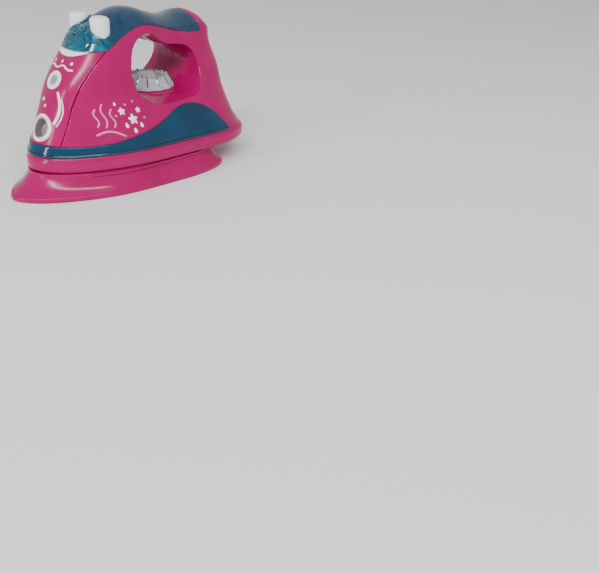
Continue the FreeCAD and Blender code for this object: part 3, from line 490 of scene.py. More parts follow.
def add_node(tree, kind, values=(), stops=()):
    """Adds a node. A value is a link from an output, an input's value or a setting. An input
    is named, or counted where several have one name. A ramp starts with its outermost stops."""
    node = tree.nodes.new(kind)
    for name, value in dict(values).items():
        if isinstance(value, bpy.types.NodeSocket):
            tree.links.new(value, node.inputs[name])
        elif isinstance(name, int) or name in node.inputs:
            node.inputs[name].default_value = value
        else:
            setattr(node, name, value)
    for i, (position, colour) in enumerate(stops):
        stop = node.color_ramp.elements[i] if i < 2 else node.color_ramp.elements.new(position)
        stop.position = position
        stop.color = colour
    return node


# The blue band: how far it stands out of the casing and sinks into it, the bead along
# its foot, and the rounding of its edges.
LEAF_LINE = (
    (10.0, 38.0), (30.0, 37.6), (49.0, 37.2), (66.0, 38.0), (84.0, 41.0), (101.0, 45.4),
    (115.0, 50.8), (126.0, 54.6), (138.0, 55.0), (148.5, 51.8), (158.0, 44.4), (168.5, 31.4),
)
LEAF_TOP_GUESS = 40.0
LEAF_TOP_ROUNDS = 8
BAND_RISE = 0.7
BAND_SINK = 0.9
BAND_GAP = 0.35
BAND_FOOT_GAP = 0.12
BAND_FOOT_EDGE = ((0.2, 0.0), (0.62, 0.25))
BAND_TOP_EDGE = ((BAND_RISE - 0.12, 0.22), (BAND_RISE - 0.42, 0.04), (-0.1, 0.0), (-BAND_SINK, 0.0))
BAND_FACE_STEPS = 14
BEAD_RISE = 0.45
BEAD_WIDTH = 1.5
BEAD_FOOT = 0.45
BEAD_GROOVE = 0.1
BEAD_STEPS = 7
FACE_FOOT = BEAD_FOOT + BEAD_GROOVE
EDGE_LEAST, BEAD_LEAST, FACE_LEAST = 8, 3, 2.6


def side_band():
    """The band round the nose with the bead along its foot, widening to a leaf on each side.
    Where the band runs out, its edges and bead shrink to a part of its rise."""
    leaf = spline_line(LEAF_LINE, LINE_STEPS)
    near_shares, points = near_side(CASING_FOOT, 0.0)
    end = np.interp(at(LEAF_LINE[-1][0]), points[:, 0], near_shares)
    shares = np.linspace(-end, end, ROUND_STEPS)
    tops = np.full(ROUND_STEPS, LEAF_TOP_GUESS)
    for _ in range(LEAF_TOP_ROUNDS):
        stations = hull_points(shares, tops, 0.0)[:, 0] + LENGTH / 2
        tops = np.interp(stations, leaf[:, 0], leaf[:, 1])
    tops = tops - BAND_GAP
    low = CASING_FOOT + BAND_FOOT_GAP
    rise = tops - low
    columns = []

    def column(outward, heights):
        columns.append(hull_points(shares, heights, outward))

    column(-BAND_SINK, np.full(ROUND_STEPS, low))
    for outward, up in BAND_FOOT_EDGE:
        column(outward, low + np.minimum(up, rise / EDGE_LEAST))
    for turn in np.linspace(0, math.pi, BEAD_STEPS):
        up = BEAD_FOOT + BEAD_WIDTH * turn / math.pi
        column(BAND_RISE + BEAD_RISE * math.sin(turn), low + np.minimum(up, rise / BEAD_LEAST))
    foot = low + np.minimum(FACE_FOOT + BEAD_WIDTH, rise / FACE_LEAST)
    for share in np.linspace(0, 1, BAND_FACE_STEPS)[1:]:
        column(BAND_RISE, foot + (tops - FACE_FOOT - foot) * share)
    for outward, down in BAND_TOP_EDGE:
        column(outward, tops - down)
    grid = np.array(columns).transpose(1, 0, 2)
    return grid_piece("blue_band", grid, capped=True)


# The flared skirt: the outlines of its neck and its rim as rows like the casing's, and
# how far it has flared at each height. The rim's foot edge gives height, flare and step.
NECK_OUTLINE = (17.5, 160.0, 18.0, 29.5, 42.0, 46.2, 47.5, 14.0)
RIM_OUTLINE = (0.0, 171.0, 13.0, 31.3, 46.6, 53.3, 55.0, 22.0)
FLARE_LEVELS = (
    (0.7, 0.965), (1.6, 1.0), (3.0, 0.99), (4.1, 0.90), (5.6, 0.71), (8.4, 0.43), (11.6, 0.22),
    (14.2, 0.08), (16.0, 0.0),
)
FLARE_REACH = 30.0
FLARE_STEPS = 60
RIM_FOOT_EDGE = ((0.25, 0.955, -0.25), (0.1, 0.94, -0.8), (0.35, 0.93, -1.5))
SKIRT_TOP = 18.0
SKIRT_WALL = 2.0
SKIRT_ROOF = 0.6
INSIDE_FLARE_SHARE = 0.93
INSIDE_FOOT = 2.2


def flare_ring(height, share, outward):
    """The skirt's ring between neck and rim, at a share of the flare."""
    row = tuple(a + (b - a) * share for a, b in zip(NECK_OUTLINE, RIM_OUTLINE))
    return level_ring(row, outward, height)


def skirt():
    levels = np.array([(z, share * FLARE_REACH) for z, share in FLARE_LEVELS])
    outer = [(z, reach / FLARE_REACH) for z, reach in spline_line(levels, FLARE_STEPS)]
    rows = [(SKIRT_TOP, 0.0, 0.0)]
    rows += [(z, share, 0.0) for z, share in reversed(outer)]
    rows += RIM_FOOT_EDGE
    rows += [(z - SKIRT_ROOF, min(share, INSIDE_FLARE_SHARE), -SKIRT_WALL)
             for z, share in outer if z > INSIDE_FOOT]
    rows += [(SKIRT_TOP, 0.0, -SKIRT_WALL)]
    grid = np.array([flare_ring(*row) for row in rows])
    return grid_piece("flared_skirt", grid, closed_rows=True)


# The raised strips on the skirt's neck. Their edge gives steps back from the face and
# in from the strip's foot or top.
STRIP_START, STRIP_END = 46.0, 159.0
STRIP_LOW, STRIP_HIGH, STRIP_REACH = 15.6, 17.3, 1.5
STRIP_ROOT = 0.5
STRIP_EDGE = ((0.35, 0.0), (0.08, 0.1), (0.0, 0.4))
STRIP_STEPS = 160


def neck_strips():
    """The raised strip with squared ends along each side of the skirt's neck."""
    probe = np.linspace(0, 0.5, 2 * PROBE_STEPS)
    neck = ring(NECK_OUTLINE, 0.0, probe)
    last = int(np.argmax(neck[:, 0]))
    start, end = (float(np.interp(at(x), neck[:last, 0], probe[:last])) for x in (STRIP_START, STRIP_END))
    section = [(-STRIP_ROOT, STRIP_LOW)]
    section += [(STRIP_REACH - back, STRIP_LOW + up) for back, up in STRIP_EDGE]
    section += [(STRIP_REACH - back, STRIP_HIGH - down) for back, down in reversed(STRIP_EDGE)]
    section += [(-STRIP_ROOT, STRIP_HIGH)]
    pieces = []
    for name, first, second in (("near_strip", start, end), ("far_strip", 1 - end, 1 - start)):
        shares = np.linspace(first, second, STRIP_STEPS)
        grid = np.array([level_ring(NECK_OUTLINE, outward, z, shares) for outward, z in section])
        pieces.append(grid_piece(name, grid.transpose(1, 0, 2), capped=True))
    return pieces


# The tray under the casing: its side bulges by these steps at these heights, with a
# rounded foot and top edge, and it is hollow from its floor up.
TRAY_LEVELS = ((18.5, -0.3), (19.6, 0.7), (22.0, 1.1), (26.2, 0.8), (29.4, 0.0))
TRAY_STEPS = 40
TRAY_FOOT_EDGE = ((18.0, -1.5), (18.04, -1.1), (18.22, -0.68))
TRAY_TOP_EDGE = ((0.22, -0.02), (0.04, -0.28), (0.0, -0.7), (0.0, -WALL))
TRAY_EDGE_START = 0.5
TRAY_INSIDE = ((26.0, -WALL), (22.0, -WALL), (20.0, -WALL - 0.3))


def tray():
    rows = list(TRAY_FOOT_EDGE)
    side = spline_line(TRAY_LEVELS, TRAY_STEPS)
    rows += [(z, step) for z, step in side if z < CASING_FOOT - TRAY_EDGE_START]
    rows += [(CASING_FOOT - down, step) for down, step in TRAY_TOP_EDGE]
    rows += TRAY_INSIDE
    grid = np.array([level_ring(casing_row(height), step, height) for height, step in rows])
    return grid_piece("tray_shell", grid, capped=True)


# The white rings on the nose: station and height of each one's middle, and the radii of
# its hole and rim.
LAMP_RING = (29.6, 48.0, 7.4, 10.0)
SPRAY_RING = (45.4, 79.0, 3.6, 6.9)
RING_DEPTH, RING_RIM_DEPTH, RING_FACE = 1.4, 0.8, 0.46
RING_STEPS = 72
SETTLING_STEPS = 7
LEAST_FACING = 0.2


def on_front(station, height, across, up, lift):
    """The point of the nose, lifted off its surface, that a fitting's own square axes name."""
    out = Vector((-math.sin(FRONT_SLOPE), 0, math.cos(FRONT_SLOPE)))
    slope = Vector((math.cos(FRONT_SLOPE), 0, math.sin(FRONT_SLOPE)))
    point = Vector((at(station), across, height)) + slope * up
    for _ in range(SETTLING_STEPS):
        normal, gap = HULL.near(point)
        point -= out * ((gap - lift) / max(normal.dot(out), LEAST_FACING))
    return point


def bezel(name, station, height, hole, rim):
    """A white ring that follows the nose's surface round a fitting."""
    section = [(hole, -RING_DEPTH), (hole, 0.05), (hole + 0.14, 0.32), (hole + 0.45, RING_FACE),
               (rim - 0.5, RING_FACE), (rim - 0.16, 0.34), (rim, 0.08), (rim, -RING_RIM_DEPTH),
               (hole + 0.3, -RING_DEPTH)]
    grid = [[on_front(station, height, radius * math.sin(turn), radius * math.cos(turn), lift)
             for turn in round_turns(RING_STEPS)] for radius, lift in section]
    return grid_piece(name, np.array(grid), closed_rows=True)


# The two finger buttons: a slightly domed top, round shoulders, a flange that the
# cover's collar holds, and a bore below for the spring round the rod.
BUTTON_STATION = 80.5
BUTTON_OFFSET = 11.8
BUTTON_RADIUS = 6.8
BUTTON_TOP = 119.6
BUTTON_DOME = 0.5
BUTTON_SHOULDER = 2.8
BUTTON_FLANGE_LOW, BUTTON_FLANGE_HIGH = 90.0, 92.0
BUTTON_FLANGE_RADIUS = 7.9
BUTTON_BORE_RADIUS, BUTTON_BORE_TOP = 5.4, 106.0
ROD_RADIUS = 1.9
SPRAY_ROD_LOW, SOUND_ROD_LOW = 87.8, 80.6
DOME_SHARES = (0.25, 0.5, 0.75, 1.0)
SHOULDER_STEPS = 9


def button(name, side, rod_low):
    shoulder = BUTTON_TOP - BUTTON_DOME - BUTTON_SHOULDER
    flat = BUTTON_RADIUS - BUTTON_SHOULDER
    profile = [(ON_AXIS, BUTTON_TOP)]
    profile += [(flat * share, BUTTON_TOP - BUTTON_DOME * share * share) for share in DOME_SHARES]
    for turn in np.linspace(0, math.pi / 2, SHOULDER_STEPS)[1:]:
        profile.append((flat + BUTTON_SHOULDER * math.sin(turn),
                        shoulder + BUTTON_SHOULDER * math.cos(turn)))
    profile += [(BUTTON_RADIUS, BUTTON_FLANGE_HIGH), (BUTTON_FLANGE_RADIUS, BUTTON_FLANGE_HIGH),
                (BUTTON_FLANGE_RADIUS, BUTTON_FLANGE_LOW), (BUTTON_BORE_RADIUS, BUTTON_FLANGE_LOW),
                (BUTTON_BORE_RADIUS, BUTTON_BORE_TOP), (ROD_RADIUS, BUTTON_BORE_TOP), (ROD_RADIUS, rod_low),
                (ON_AXIS, rod_low)]
    return lathe(name, profile, (at(BUTTON_STATION), side, 0.0))


# The clear dial, as radii and heights: a round rim band, a cone of facets with a rib
# between each two, a dished top with a knob in it, and a hollow underside.
DIAL_STATION = 129.0
DIAL_FACETS = 14
DIAL_FOOT, DIAL_RIM_TOP, DIAL_TOP = 61.8, 64.4, 70.4
DIAL_RIM = ((21.3, DIAL_FOOT), (21.6, DIAL_FOOT + 0.25), (21.6, DIAL_RIM_TOP - 0.5),
            (21.35, DIAL_RIM_TOP - 0.1), (20.9, DIAL_RIM_TOP))
CONE_FOOT_RADIUS, CONE_TOP_RADIUS = 20.9, 16.9
CONE_TOP = DIAL_TOP - 0.2
CONE_BOW = 0.9
CONE_SHARES = np.linspace(0.06, 0.94, 8)
DIAL_EDGE = (16.4, DIAL_TOP)
DIAL_DISH = ((15.4, DIAL_TOP + 0.02), (15.0, DIAL_TOP - 0.25), (14.6, DIAL_TOP - 0.9), (8.6, DIAL_TOP - 0.9),
             (8.2, DIAL_TOP - 0.6), (7.6, DIAL_TOP + 0.6), (7.2, DIAL_TOP + 1.0), (5.0, DIAL_TOP + 1.1),
             (ON_AXIS, DIAL_TOP + 1.1))
DIAL_UNDER = ((ON_AXIS, DIAL_TOP - 1.6), (3.0, DIAL_TOP - 1.6), (3.0, DIAL_FOOT), (5.2, DIAL_FOOT),
              (5.2, DIAL_TOP - 2.2), (14.2, DIAL_TOP - 2.2), (19.4, DIAL_RIM_TOP - 0.4), (19.4, DIAL_FOOT))
FACETED_FROM = 14.0
FACET_STEPS = 12
RIB_STEPS = 1.6
RIB_OUT, RIB_UP = 0.3, 0.25

# The studs round the dial's top edge.
STUD_PROFILE = ((ON_AXIS, 1.0), (0.5, 0.93), (0.92, 0.6), (1.1, 0.1), (1.1, -0.6), (ON_AXIS, -0.6))
STUD_SIDES = 14
STUD_RING = 15.7


def facet_radius(turn, radius):
    """How far a many-sided ring reaches at a turn, with its corners on the radius."""
    step = 2 * math.pi / DIAL_FACETS
    return radius * math.cos(step / 2) / math.cos((turn % step) - step / 2)


def dial():
    turns = round_turns(DIAL_FACETS * FACET_STEPS)
    profile = [(radius, height, False) for radius, height in DIAL_RIM]
    for share in CONE_SHARES:
        radius = CONE_FOOT_RADIUS + (CONE_TOP_RADIUS - CONE_FOOT_RADIUS) * share ** CONE_BOW
        profile.append((radius, DIAL_RIM_TOP + (CONE_TOP - DIAL_RIM_TOP) * share, True))
    profile.append(DIAL_EDGE + (True,))
    profile += [(radius, height, False) for radius, height in DIAL_DISH]
    grid = []
    for radius, height, ribbed in profile:
        row = []
        for i, turn in enumerate(turns):
            reach = facet_radius(turn, radius) if radius > FACETED_FROM else radius
            step = i % FACET_STEPS
            rib = max(0.0, 1.0 - min(step, FACET_STEPS - step) / RIB_STEPS) if ribbed else 0.0
            reach += RIB_OUT * rib
            row.append((reach * math.cos(turn), reach * math.sin(turn), height + RIB_UP * rib))
        grid.append(row)
    for radius, height in DIAL_UNDER:
        grid.append([(radius * math.cos(turn), radius * math.sin(turn), height) for turn in turns])
    return grid_piece("faceted_dial", np.array(grid) + (at(DIAL_STATION), 0.0, 0.0), closed_rows=True)


def repeat_tree(name, material):
    """Copies a small shape onto the corners of a flat ring, with its sizes as inputs."""
    tree = bpy.data.node_groups.new(name, "GeometryNodeTree")
    tree.interface.new_socket("Stud", in_out="INPUT", socket_type="NodeSocketGeometry")
    for label in ("Ring radius", "Height", "Station"):
        tree.interface.new_socket(label, in_out="INPUT", socket_type="NodeSocketFloat")
    tree.interface.new_socket("Count", in_out="INPUT", socket_type="NodeSocketInt")
    tree.interface.new_socket("Geometry", in_out="OUTPUT", socket_type="NodeSocketGeometry")
    source = add_node(tree, "NodeGroupInput").outputs
    circle = add_node(tree, "GeometryNodeMeshCircle",
                      {"Vertices": source["Count"], "Radius": source["Ring radius"]})
    place = add_node(tree, "ShaderNodeCombineXYZ", {"X": source["Station"], "Z": source["Height"]})
    moved = add_node(tree, "GeometryNodeTransform",
                     {"Geometry": circle.outputs["Mesh"], "Translation": place.outputs["Vector"]})
    studs = add_node(tree, "GeometryNodeInstanceOnPoints",
                     {"Points": moved.outputs["Geometry"], "Instance": source["Stud"]})
    real = add_node(tree, "GeometryNodeRealizeInstances", {"Geometry": studs.outputs["Instances"]})
    painted = add_node(tree, "GeometryNodeSetMaterial",
                       {"Geometry": real.outputs["Geometry"], "Material": material})
    add_node(tree, "NodeGroupOutput", {"Geometry": painted.outputs["Geometry"]})
    return tree


def dial_studs(material):
    """The little studs round the dial's top edge."""
    stud = lathe("dial_studs", STUD_PROFILE, (0.0, 0.0, 0.0), STUD_SIDES)
    tree = repeat_tree("studs on a ring", material)
    modifier = stud.modifiers.new("studs", "NODES")
    modifier.node_group = tree
    values = {"Ring radius": STUD_RING * MM, "Height": DIAL_TOP * MM, "Station": at(DIAL_STATION) * MM,
              "Count": DIAL_FACETS}
    for item in tree.interface.items_tree:
        if item.in_out == "INPUT" and item.name in values:
            modifier[item.identifier] = values[item.name]
    return settled(stud)


# Printed marks are thin films: each stroke's section, and each filled mark's rings, as
# shares of its width or radius with their lifts off the skin.
FILM = 0.06
STROKE_SECTION = ((-1.0, -0.02), (-0.86, FILM), (0.0, FILM), (0.86, FILM), (1.0, -0.02), (0.0, -FILM))
STROKE_STEPS = 48
STROKE_TIP_SHARE = 0.12
MARK_RINGS = ((1.0, -FILM), (1.0, 0.0), (0.94, FILM), (0.5, FILM), (0.02, FILM))
DROP_STEPS, STAR_STEPS, DOT_STEPS = 40, 50, 24
PRINT_SHARP_TURN = 60.0


class Print:
    """Collects the printed marks of one colour as thin raised films that follow a shell."""

    def __init__(self, place):
        self.place = place
        self.points = []
        self.faces = []

    def add_grid(self, rows):
        self.faces += grid_faces(len(rows), len(rows[0]), capped=True, base=len(self.points))
        self.points += [self.place(*spot) for row in rows for spot in row]

    def stroke(self, points, width):
        """A brush stroke with round ends along a smooth line."""
        path = spline_line(points, STROKE_STEPS)
        heading = np.gradient(path, axis=0)
        heading /= np.linalg.norm(heading, axis=1, keepdims=True)
        runs = np.concatenate([[0.0], np.cumsum(np.linalg.norm(np.diff(path, axis=0), axis=1))])
        rows = []
        for point, way, run in zip(path, heading, runs):
            end = min(run, runs[-1] - run, width / 2) / (width / 2)
            half = width / 2 * max(math.sqrt(max(1 - (1 - end) ** 2, 0.0)), STROKE_TIP_SHARE)
            side = np.array((-way[1], way[0]))
            rows.append([(*(point + side * across * half), lift) for across, lift in STROKE_SECTION])
        self.add_grid(rows)

    def mark(self, middle, radius, steps):
        """A filled mark whose radius is a function of the angle."""
        rows = []
        for share, lift in MARK_RINGS:
            rows.append([(middle[0] + radius(turn) * share * math.cos(turn),
                          middle[1] + radius(turn) * share * math.sin(turn), lift)
                         for turn in round_turns(steps)])
        self.add_grid(rows)

    def made(self, name):
        return mesh_piece(name, self.points, self.faces, PRINT_SHARP_TURN)


def skin_tree(piece):
    """A tree of a shell's faces, for laying prints on them."""
    points = [vertex.co.copy() for vertex in piece.data.vertices]
    return BVHTree.FromPolygons(points, [tuple(face.vertices) for face in piece.data.polygons])


def on_skin(tree, start, way, lift):
    """Where a ray from the start meets the shell, lifted off it."""
    hit, normal, _, _ = tree.ray_cast(Vector(start) * MM, Vector(way))
    if normal.dot(Vector(way)) > 0:
        normal = -normal
    return hit + normal * (lift * MM)


STAR_POINTS = 5
STAR_DENT = 0.45
DROP_TAIL = 0.75
DROP_POWER = 6


def star(size):
    def radius(turn):
        return size * (1 - STAR_DENT * (0.5 - 0.5 * math.cos(STAR_POINTS * (turn - math.pi / 2))))
    return radius


def drop(size):
    def radius(turn):
        return size * (1 + DROP_TAIL * max(math.cos(turn - math.pi / 2), 0.0) ** DROP_POWER)
    return radius


# The side prints: curls as station, foot and rise, and stars, drops and dots as
# station, height and size.
RAY_START = 120.0
CURLS = ((56.5, 49.0, 12.0), (62.0, 48.0, 16.0), (67.5, 47.5, 12.5))
SIDE_STARS = ((76.5, 57.5, 2.7), (83.0, 51.5, 3.6), (89.0, 57.0, 2.0))
SIDE_DROPS = ((77.0, 47.6, 1.25), (82.0, 43.6, 1.25), (88.0, 46.6, 1.25), (73.0, 62.5, 0.9))
SIDE_DOTS = ((71.5, 55.0), (80.5, 61.5), (87.0, 63.0), (92.0, 51.5))
DOT_RADIUS = 0.8


def side_prints(tree, side):
    """Steam curls, drops and stars in pink and white, a plain design of the maker's own.
    On the far side a screw's socket takes the place of two curls."""
    def place(station, height, lift):
        return on_skin(tree, (at(station), RAY_START * side, height), (0, -side, 0), lift)

    sway, drift, curl_width = 1.5, 2.2, 1.15
    arc_start, arc_run, arc_height, bow, fall, arc_width = 54.0, 20.0, 43.6, 3.2, 2.6, 1.3
    pink = Print(place)
    white = Print(place)
    for station, low, tall in CURLS[2:] if side > 0 else CURLS:
        pink.stroke([(station + sway * math.sin(2 * math.pi * share) + drift * share, low + tall * share)
                     for share in np.linspace(0, 1, 9)], curl_width)
    pink.stroke([(arc_start + arc_run * share, arc_height + bow * math.sin(math.pi * share) - fall * share)
                 for share in np.linspace(0, 1, 11)], arc_width)
    for station, height, size in SIDE_STARS:
        white.mark((station, height), star(size), STAR_STEPS)
    for station, height, size in SIDE_DROPS:
        white.mark((station, height), drop(size), DROP_STEPS)
    for spot in SIDE_DOTS:
        pink.mark(spot, lambda turn: DOT_RADIUS, DOT_STEPS)
    return pink, white


def front_prints(tree):
    """White marks on the nose: a wave and drops over the spray, a ribbon down to the lamp.
    They are laid out across and up a plane square to the panel's slope, over its foot."""
    foot, ray_start = 36.0, 80.0
    wave_half, wave_height, wave_sway, wave_width = 12.5, 96.6, 1.2, 1.5
    drop_height, drop_size, drop_gap = 100.8, 1.05, 9.5
    ribbon_across, ribbon_top, ribbon_width = -7.8, 76.5, 2.0
    bow, drift, run = 3.2, 2.4, 26.4
    line_across, line_down, line_width = 2.3, 1.0, 0.8
    stars = ((5.0, 67.5, 1.9), (1.2, 62.5, 1.5))
    down = (math.sin(FRONT_SLOPE), 0, -math.cos(FRONT_SLOPE))

    def place(across, height, lift):
        start = (at(foot) - ray_start * down[0], across, height - ray_start * down[2])
        return on_skin(tree, start, down, lift)

    white = Print(place)
    wave = [(wave_half - 2 * wave_half * share, wave_height + wave_sway * math.sin(4 * math.pi * share))
            for share in np.linspace(0, 1, 13)]
    white.stroke(wave, wave_width)
    for across in (-drop_gap, 0.0, drop_gap):
        white.mark((across, drop_height), drop(drop_size), DROP_STEPS)
    ribbon = [(ribbon_across - bow * math.sin(math.pi * share) - drift * share, ribbon_top - run * share)
              for share in np.linspace(0, 1, 9)]
    white.stroke(ribbon, ribbon_width)
    white.stroke([(across - line_across, height - line_down) for across, height in ribbon[1:]], line_width)
    for across, height, size in stars:
        white.mark((across, height), star(size), STAR_STEPS)
    return white


def seam_bead(side):
    """A fine half round rib along the casing's seam, just ahead of it, that tapers out."""
    low, high, taper_run = 60.0, 97.0, 6.0
    ahead, rise, half, root = 1.45, 0.6, 0.715, 0.36
    tip_share = math.sqrt(0.02)
    turns = [*np.linspace(0, math.pi, 7), 1.5 * math.pi]
    line = spline_line(FASCIA_LINE, LINE_STEPS)
    heights = np.linspace(low, high, 70)
    stations = np.interp(heights, line[:, 1], line[:, 0]) - ahead
    grid = []
    for height, station in zip(heights, stations):
        end = min((height - low) / taper_run, (high - height) / taper_run, 1.0)
        taper = max(math.sqrt(1 - (1 - end) ** 2), tip_share)
        row = []
        for turn in turns:
            points = near_side(height, taper * max(rise * math.sin(turn), -root))[1]
            place = at(station - half * taper * math.cos(turn))
            row.append((place, side * abs(np.interp(place, points[:, 0], points[:, 1])), height))
        grid.append(row)
    return grid_piece("far_bead" if side > 0 else "near_bead", np.array(grid), capped=True)


def linear(hex_colour):
    """A colour's linear values from its sRGB hex value."""
    values = [int(hex_colour[i:i + 2], 16) / 255 for i in (1, 3, 5)]
    return tuple(v / 12.92 if v <= 0.04045 else ((v + 0.055) / 1.055) ** 2.4 for v in values) + (1.0,)


def noise(tree, place, size, detail, distortion=0.0):
    """A pattern of noise whose features are a size in millimetres apart."""
    values = {"Scale": 1.0 / (size * MM), "Detail": detail, "Distortion": distortion, "Vector": place}
    return add_node(tree, "ShaderNodeTexNoise", values).outputs["Fac"]


def ramp(tree, value, stops):
    return add_node(tree, "ShaderNodeValToRGB", {"Fac": value}, stops).outputs["Color"]


def span(tree, value, low, high, first=0.0, last=1.0, ease="LINEAR"):
    """Runs from first to last while a value runs from low to high."""
    values = {"interpolation_type": ease, "Value": value, "From Min": low, "From Max": high,
              "To Min": first, "To Max": last}
    return add_node(tree, "ShaderNodeMapRange", values).outputs["Result"]


def reckon(tree, operation, first, second):
    return add_node(tree, "ShaderNodeMath", {"operation": operation, 0: first, 1: second}).outputs[0]


def blend(tree, share, first, second):
    """A colour between two, by a share."""
    return add_node(tree, "ShaderNodeMix", {"data_type": "RGBA", 0: share, 6: first, 7: second}).outputs[2]


def start_material(name):
    """A new material with its tree, and the places on the piece that its patterns read."""
    material = bpy.data.materials.new(name)
    material.use_nodes = True
    tree = material.node_tree
    tree.nodes.clear()
    return material, tree, add_node(tree, "ShaderNodeTexCoord").outputs["Object"]


def finish_material(tree, values):
    shader = add_node(tree, "ShaderNodeBsdfPrincipled", values)
    add_node(tree, "ShaderNodeOutputMaterial", {"Surface": shader.outputs["BSDF"]})


# Plastics leave the mould with slow drifts of shade and gloss over DRIFT_SIZE, and with
# the skin of the tool. Its grain is drawn at SKIN_GRAIN, coarser than real, to show.
PLASTIC_IOR = 1.53
DRIFT_SIZE = 24.0
SKIN_GRAIN = 0.6
SKIN_DEPTH = 0.012
SKIN_STRENGTH = 0.25


def moulded_plastic(name, colour, shade, roughness, specular=0.5, drift_size=DRIFT_SIZE, grain=SKIN_GRAIN,
                    depth=SKIN_DEPTH, painted_shade_lines=None):
    """Injection moulded plastic. Painted shade lines give a mask and a colour for dark lines painted in as
    shade, where the moulding's own shape would darken it."""
    material, tree, place = start_material(name)
    drift = noise(tree, place, drift_size, 3.0)
    base = ramp(tree, drift, ((0.35, linear(shade)), (0.65, linear(colour))))
    gloss = span(tree, drift, 0.0, 1.0, roughness * 0.85, roughness * 1.2)
    bump = add_node(tree, "ShaderNodeBump", {"Strength": SKIN_STRENGTH, "Distance": depth * MM,
                                             "Height": noise(tree, place, grain, 2.0)})
    if painted_shade_lines:
        # Painted shade: dark lines painted into the base colour where grooves and ribs would shade it.
        painted_line_mask, painted_line_colour = painted_shade_lines(tree, place)
        base = blend(tree, painted_line_mask, base, linear(painted_line_colour))
    finish_material(tree, {"Base Color": base, "Roughness": gloss, "Normal": bump.outputs["Normal"],
                           "IOR": PLASTIC_IOR, "Specular IOR Level": specular})
    return material


def painted_groove_shade(tree, place):
    """Painted shade: a dark line painted where the band's bead meets the band, for the shade in the groove
    there.
    """
    low, high = 31.1, 32.2
    black, white = (0.0, 0.0, 0.0, 1.0), (1.0, 1.0, 1.0, 1.0)
    split = add_node(tree, "ShaderNodeSeparateXYZ", {"Vector": place}).outputs
    line = ramp(tree, span(tree, split["Z"], low * MM, high * MM),
                ((0.0, black), (1.0, black), (0.35, white), (0.65, white)))
    return line, "#052034"


def painted_facet_shade(tree, place):
    """Painted shade: dark lines painted on the clear dial where its facets meet, for the shade that shows
    through it there: near whole counts of facets round the dial, and above its rim band."""
    low, high = 64.3, 65.0
    core, edge = 0.03, 0.085
    split = add_node(tree, "ShaderNodeSeparateXYZ", {"Vector": place}).outputs
    ahead = reckon(tree, "SUBTRACT", split["X"], at(DIAL_STATION) * MM)
    turn = reckon(tree, "ARCTAN2", split["Y"], ahead)
    facets = reckon(tree, "MULTIPLY", turn, DIAL_FACETS / (2 * math.pi))
    near = span(tree, reckon(tree, "PINGPONG", facets, 0.5), core, edge, 1.0, 0.0)
    above = span(tree, split["Z"], low * MM, high * MM)
    return reckon(tree, "MULTIPLY", near, above), "#4C4E57"


# Steel is drawn to wire or pressed from sheet and zinc plated. The fine lines of the
# drawing are drawn at WIRE_GRAIN, coarser than real, and break up its gloss.
WIRE_GRAIN = 0.25


def plated_metal(name, colour, roughness):
    material, tree, place = start_material(name)
    gloss = span(tree, noise(tree, place, WIRE_GRAIN, 4.0), 0.0, 1.0, roughness * 0.7, roughness * 1.4)
    finish_material(tree, {"Base Color": linear(colour), "Metallic": 1.0, "Roughness": gloss})
    return material


# The cover is moulded thin and clear, and its colour here holds painted light and shade. Over the hollow
# nose it is painted a lighter cyan, for the light that comes back through it, in painted patches of
# COVER_LIGHT_PATCH from the ribs inside. Over the grip it lies on the casing and is painted a darker teal,
# for the shade there. The two meet between these stations.
COVER_IOR = 1.57
COVER_LIGHT_PATCH = 9.0
NOSE_END, GRIP_START = 72.0, 92.0
NOSE_PAINTED_LIGHT = ((0.38, linear("#003E55")), (0.66, linear("#007590")))
GRIP_PAINTED_SHADE = ((0.3, linear("#072F4C")), (0.75, linear("#0A4163")))


def cover_plastic_with_painted_light(name):
    """Clear blue styrene, painted a lighter cyan over the hollow nose and a darker teal over the grip:
    painted light and shade along its length.
    """
    material, tree, place = start_material(name)
    split = add_node(tree, "ShaderNodeSeparateXYZ", {"Vector": place}).outputs
    along = span(tree, split["X"], at(NOSE_END) * MM, at(GRIP_START) * MM, ease="SMOOTHSTEP")
    light_patch = noise(tree, place, COVER_LIGHT_PATCH, 2.0, 1.2)
    tint_and_painted_light = blend(tree, along, ramp(tree, light_patch, NOSE_PAINTED_LIGHT), ramp(tree, light_patch, GRIP_PAINTED_SHADE))
    finish_material(tree, {"Base Color": tint_and_painted_light, "Roughness": 0.08, "IOR": COVER_IOR,
                           "Specular IOR Level": 0.4, "Coat Weight": 0.15, "Coat Roughness": 0.04,
                           "Transmission Weight": 0.12})
    return material


def paint(piece, material):
    piece.data.materials.clear()
    piece.data.materials.append(material)
    return piece


# Casing, panel, tray and skirt come from a polished mould, which gives them clear
# lights on a deep, even colour.
MAGENTA = moulded_plastic("polished magenta ABS", "#A8005C", "#A00056", 0.17, specular=0.28)
# The cover and the plug in it, from a highly polished mould: glassy, with painted light over the nose and
# painted shade over the grip in its colour.
BLUE_COVER = cover_plastic_with_painted_light("clear blue styrene")
# The band lies close on the casing and reads as one dark blue, with a painted shade line for the groove by
# its bead.
BLUE_BAND = moulded_plastic("deep blue styrene", "#073A58", "#052F4A", 0.1, specular=0.4,
                            drift_size=30.0, painted_shade_lines=painted_groove_shade)
# Buttons and rings are moulded satin, so that their lights are soft.
WHITE = moulded_plastic("white ABS", "#F4F4F6", "#EFEFF2", 0.25)
# Sole, door and spray tip come from an etched mould with a fine dull grain.
GREY = moulded_plastic("textured grey ABS", "#9A9CA0", "#929498", 0.5, grain=0.4, depth=0.05)
# The dial is cut sharp in the mould and polished: grey glints, and painted shade as dark lines at its ribs.
DIAL_CLEAR = moulded_plastic("silver clear styrene", "#BFC2CA", "#A9ACB6", 0.08, drift_size=7.0,
                             painted_shade_lines=painted_facet_shade)
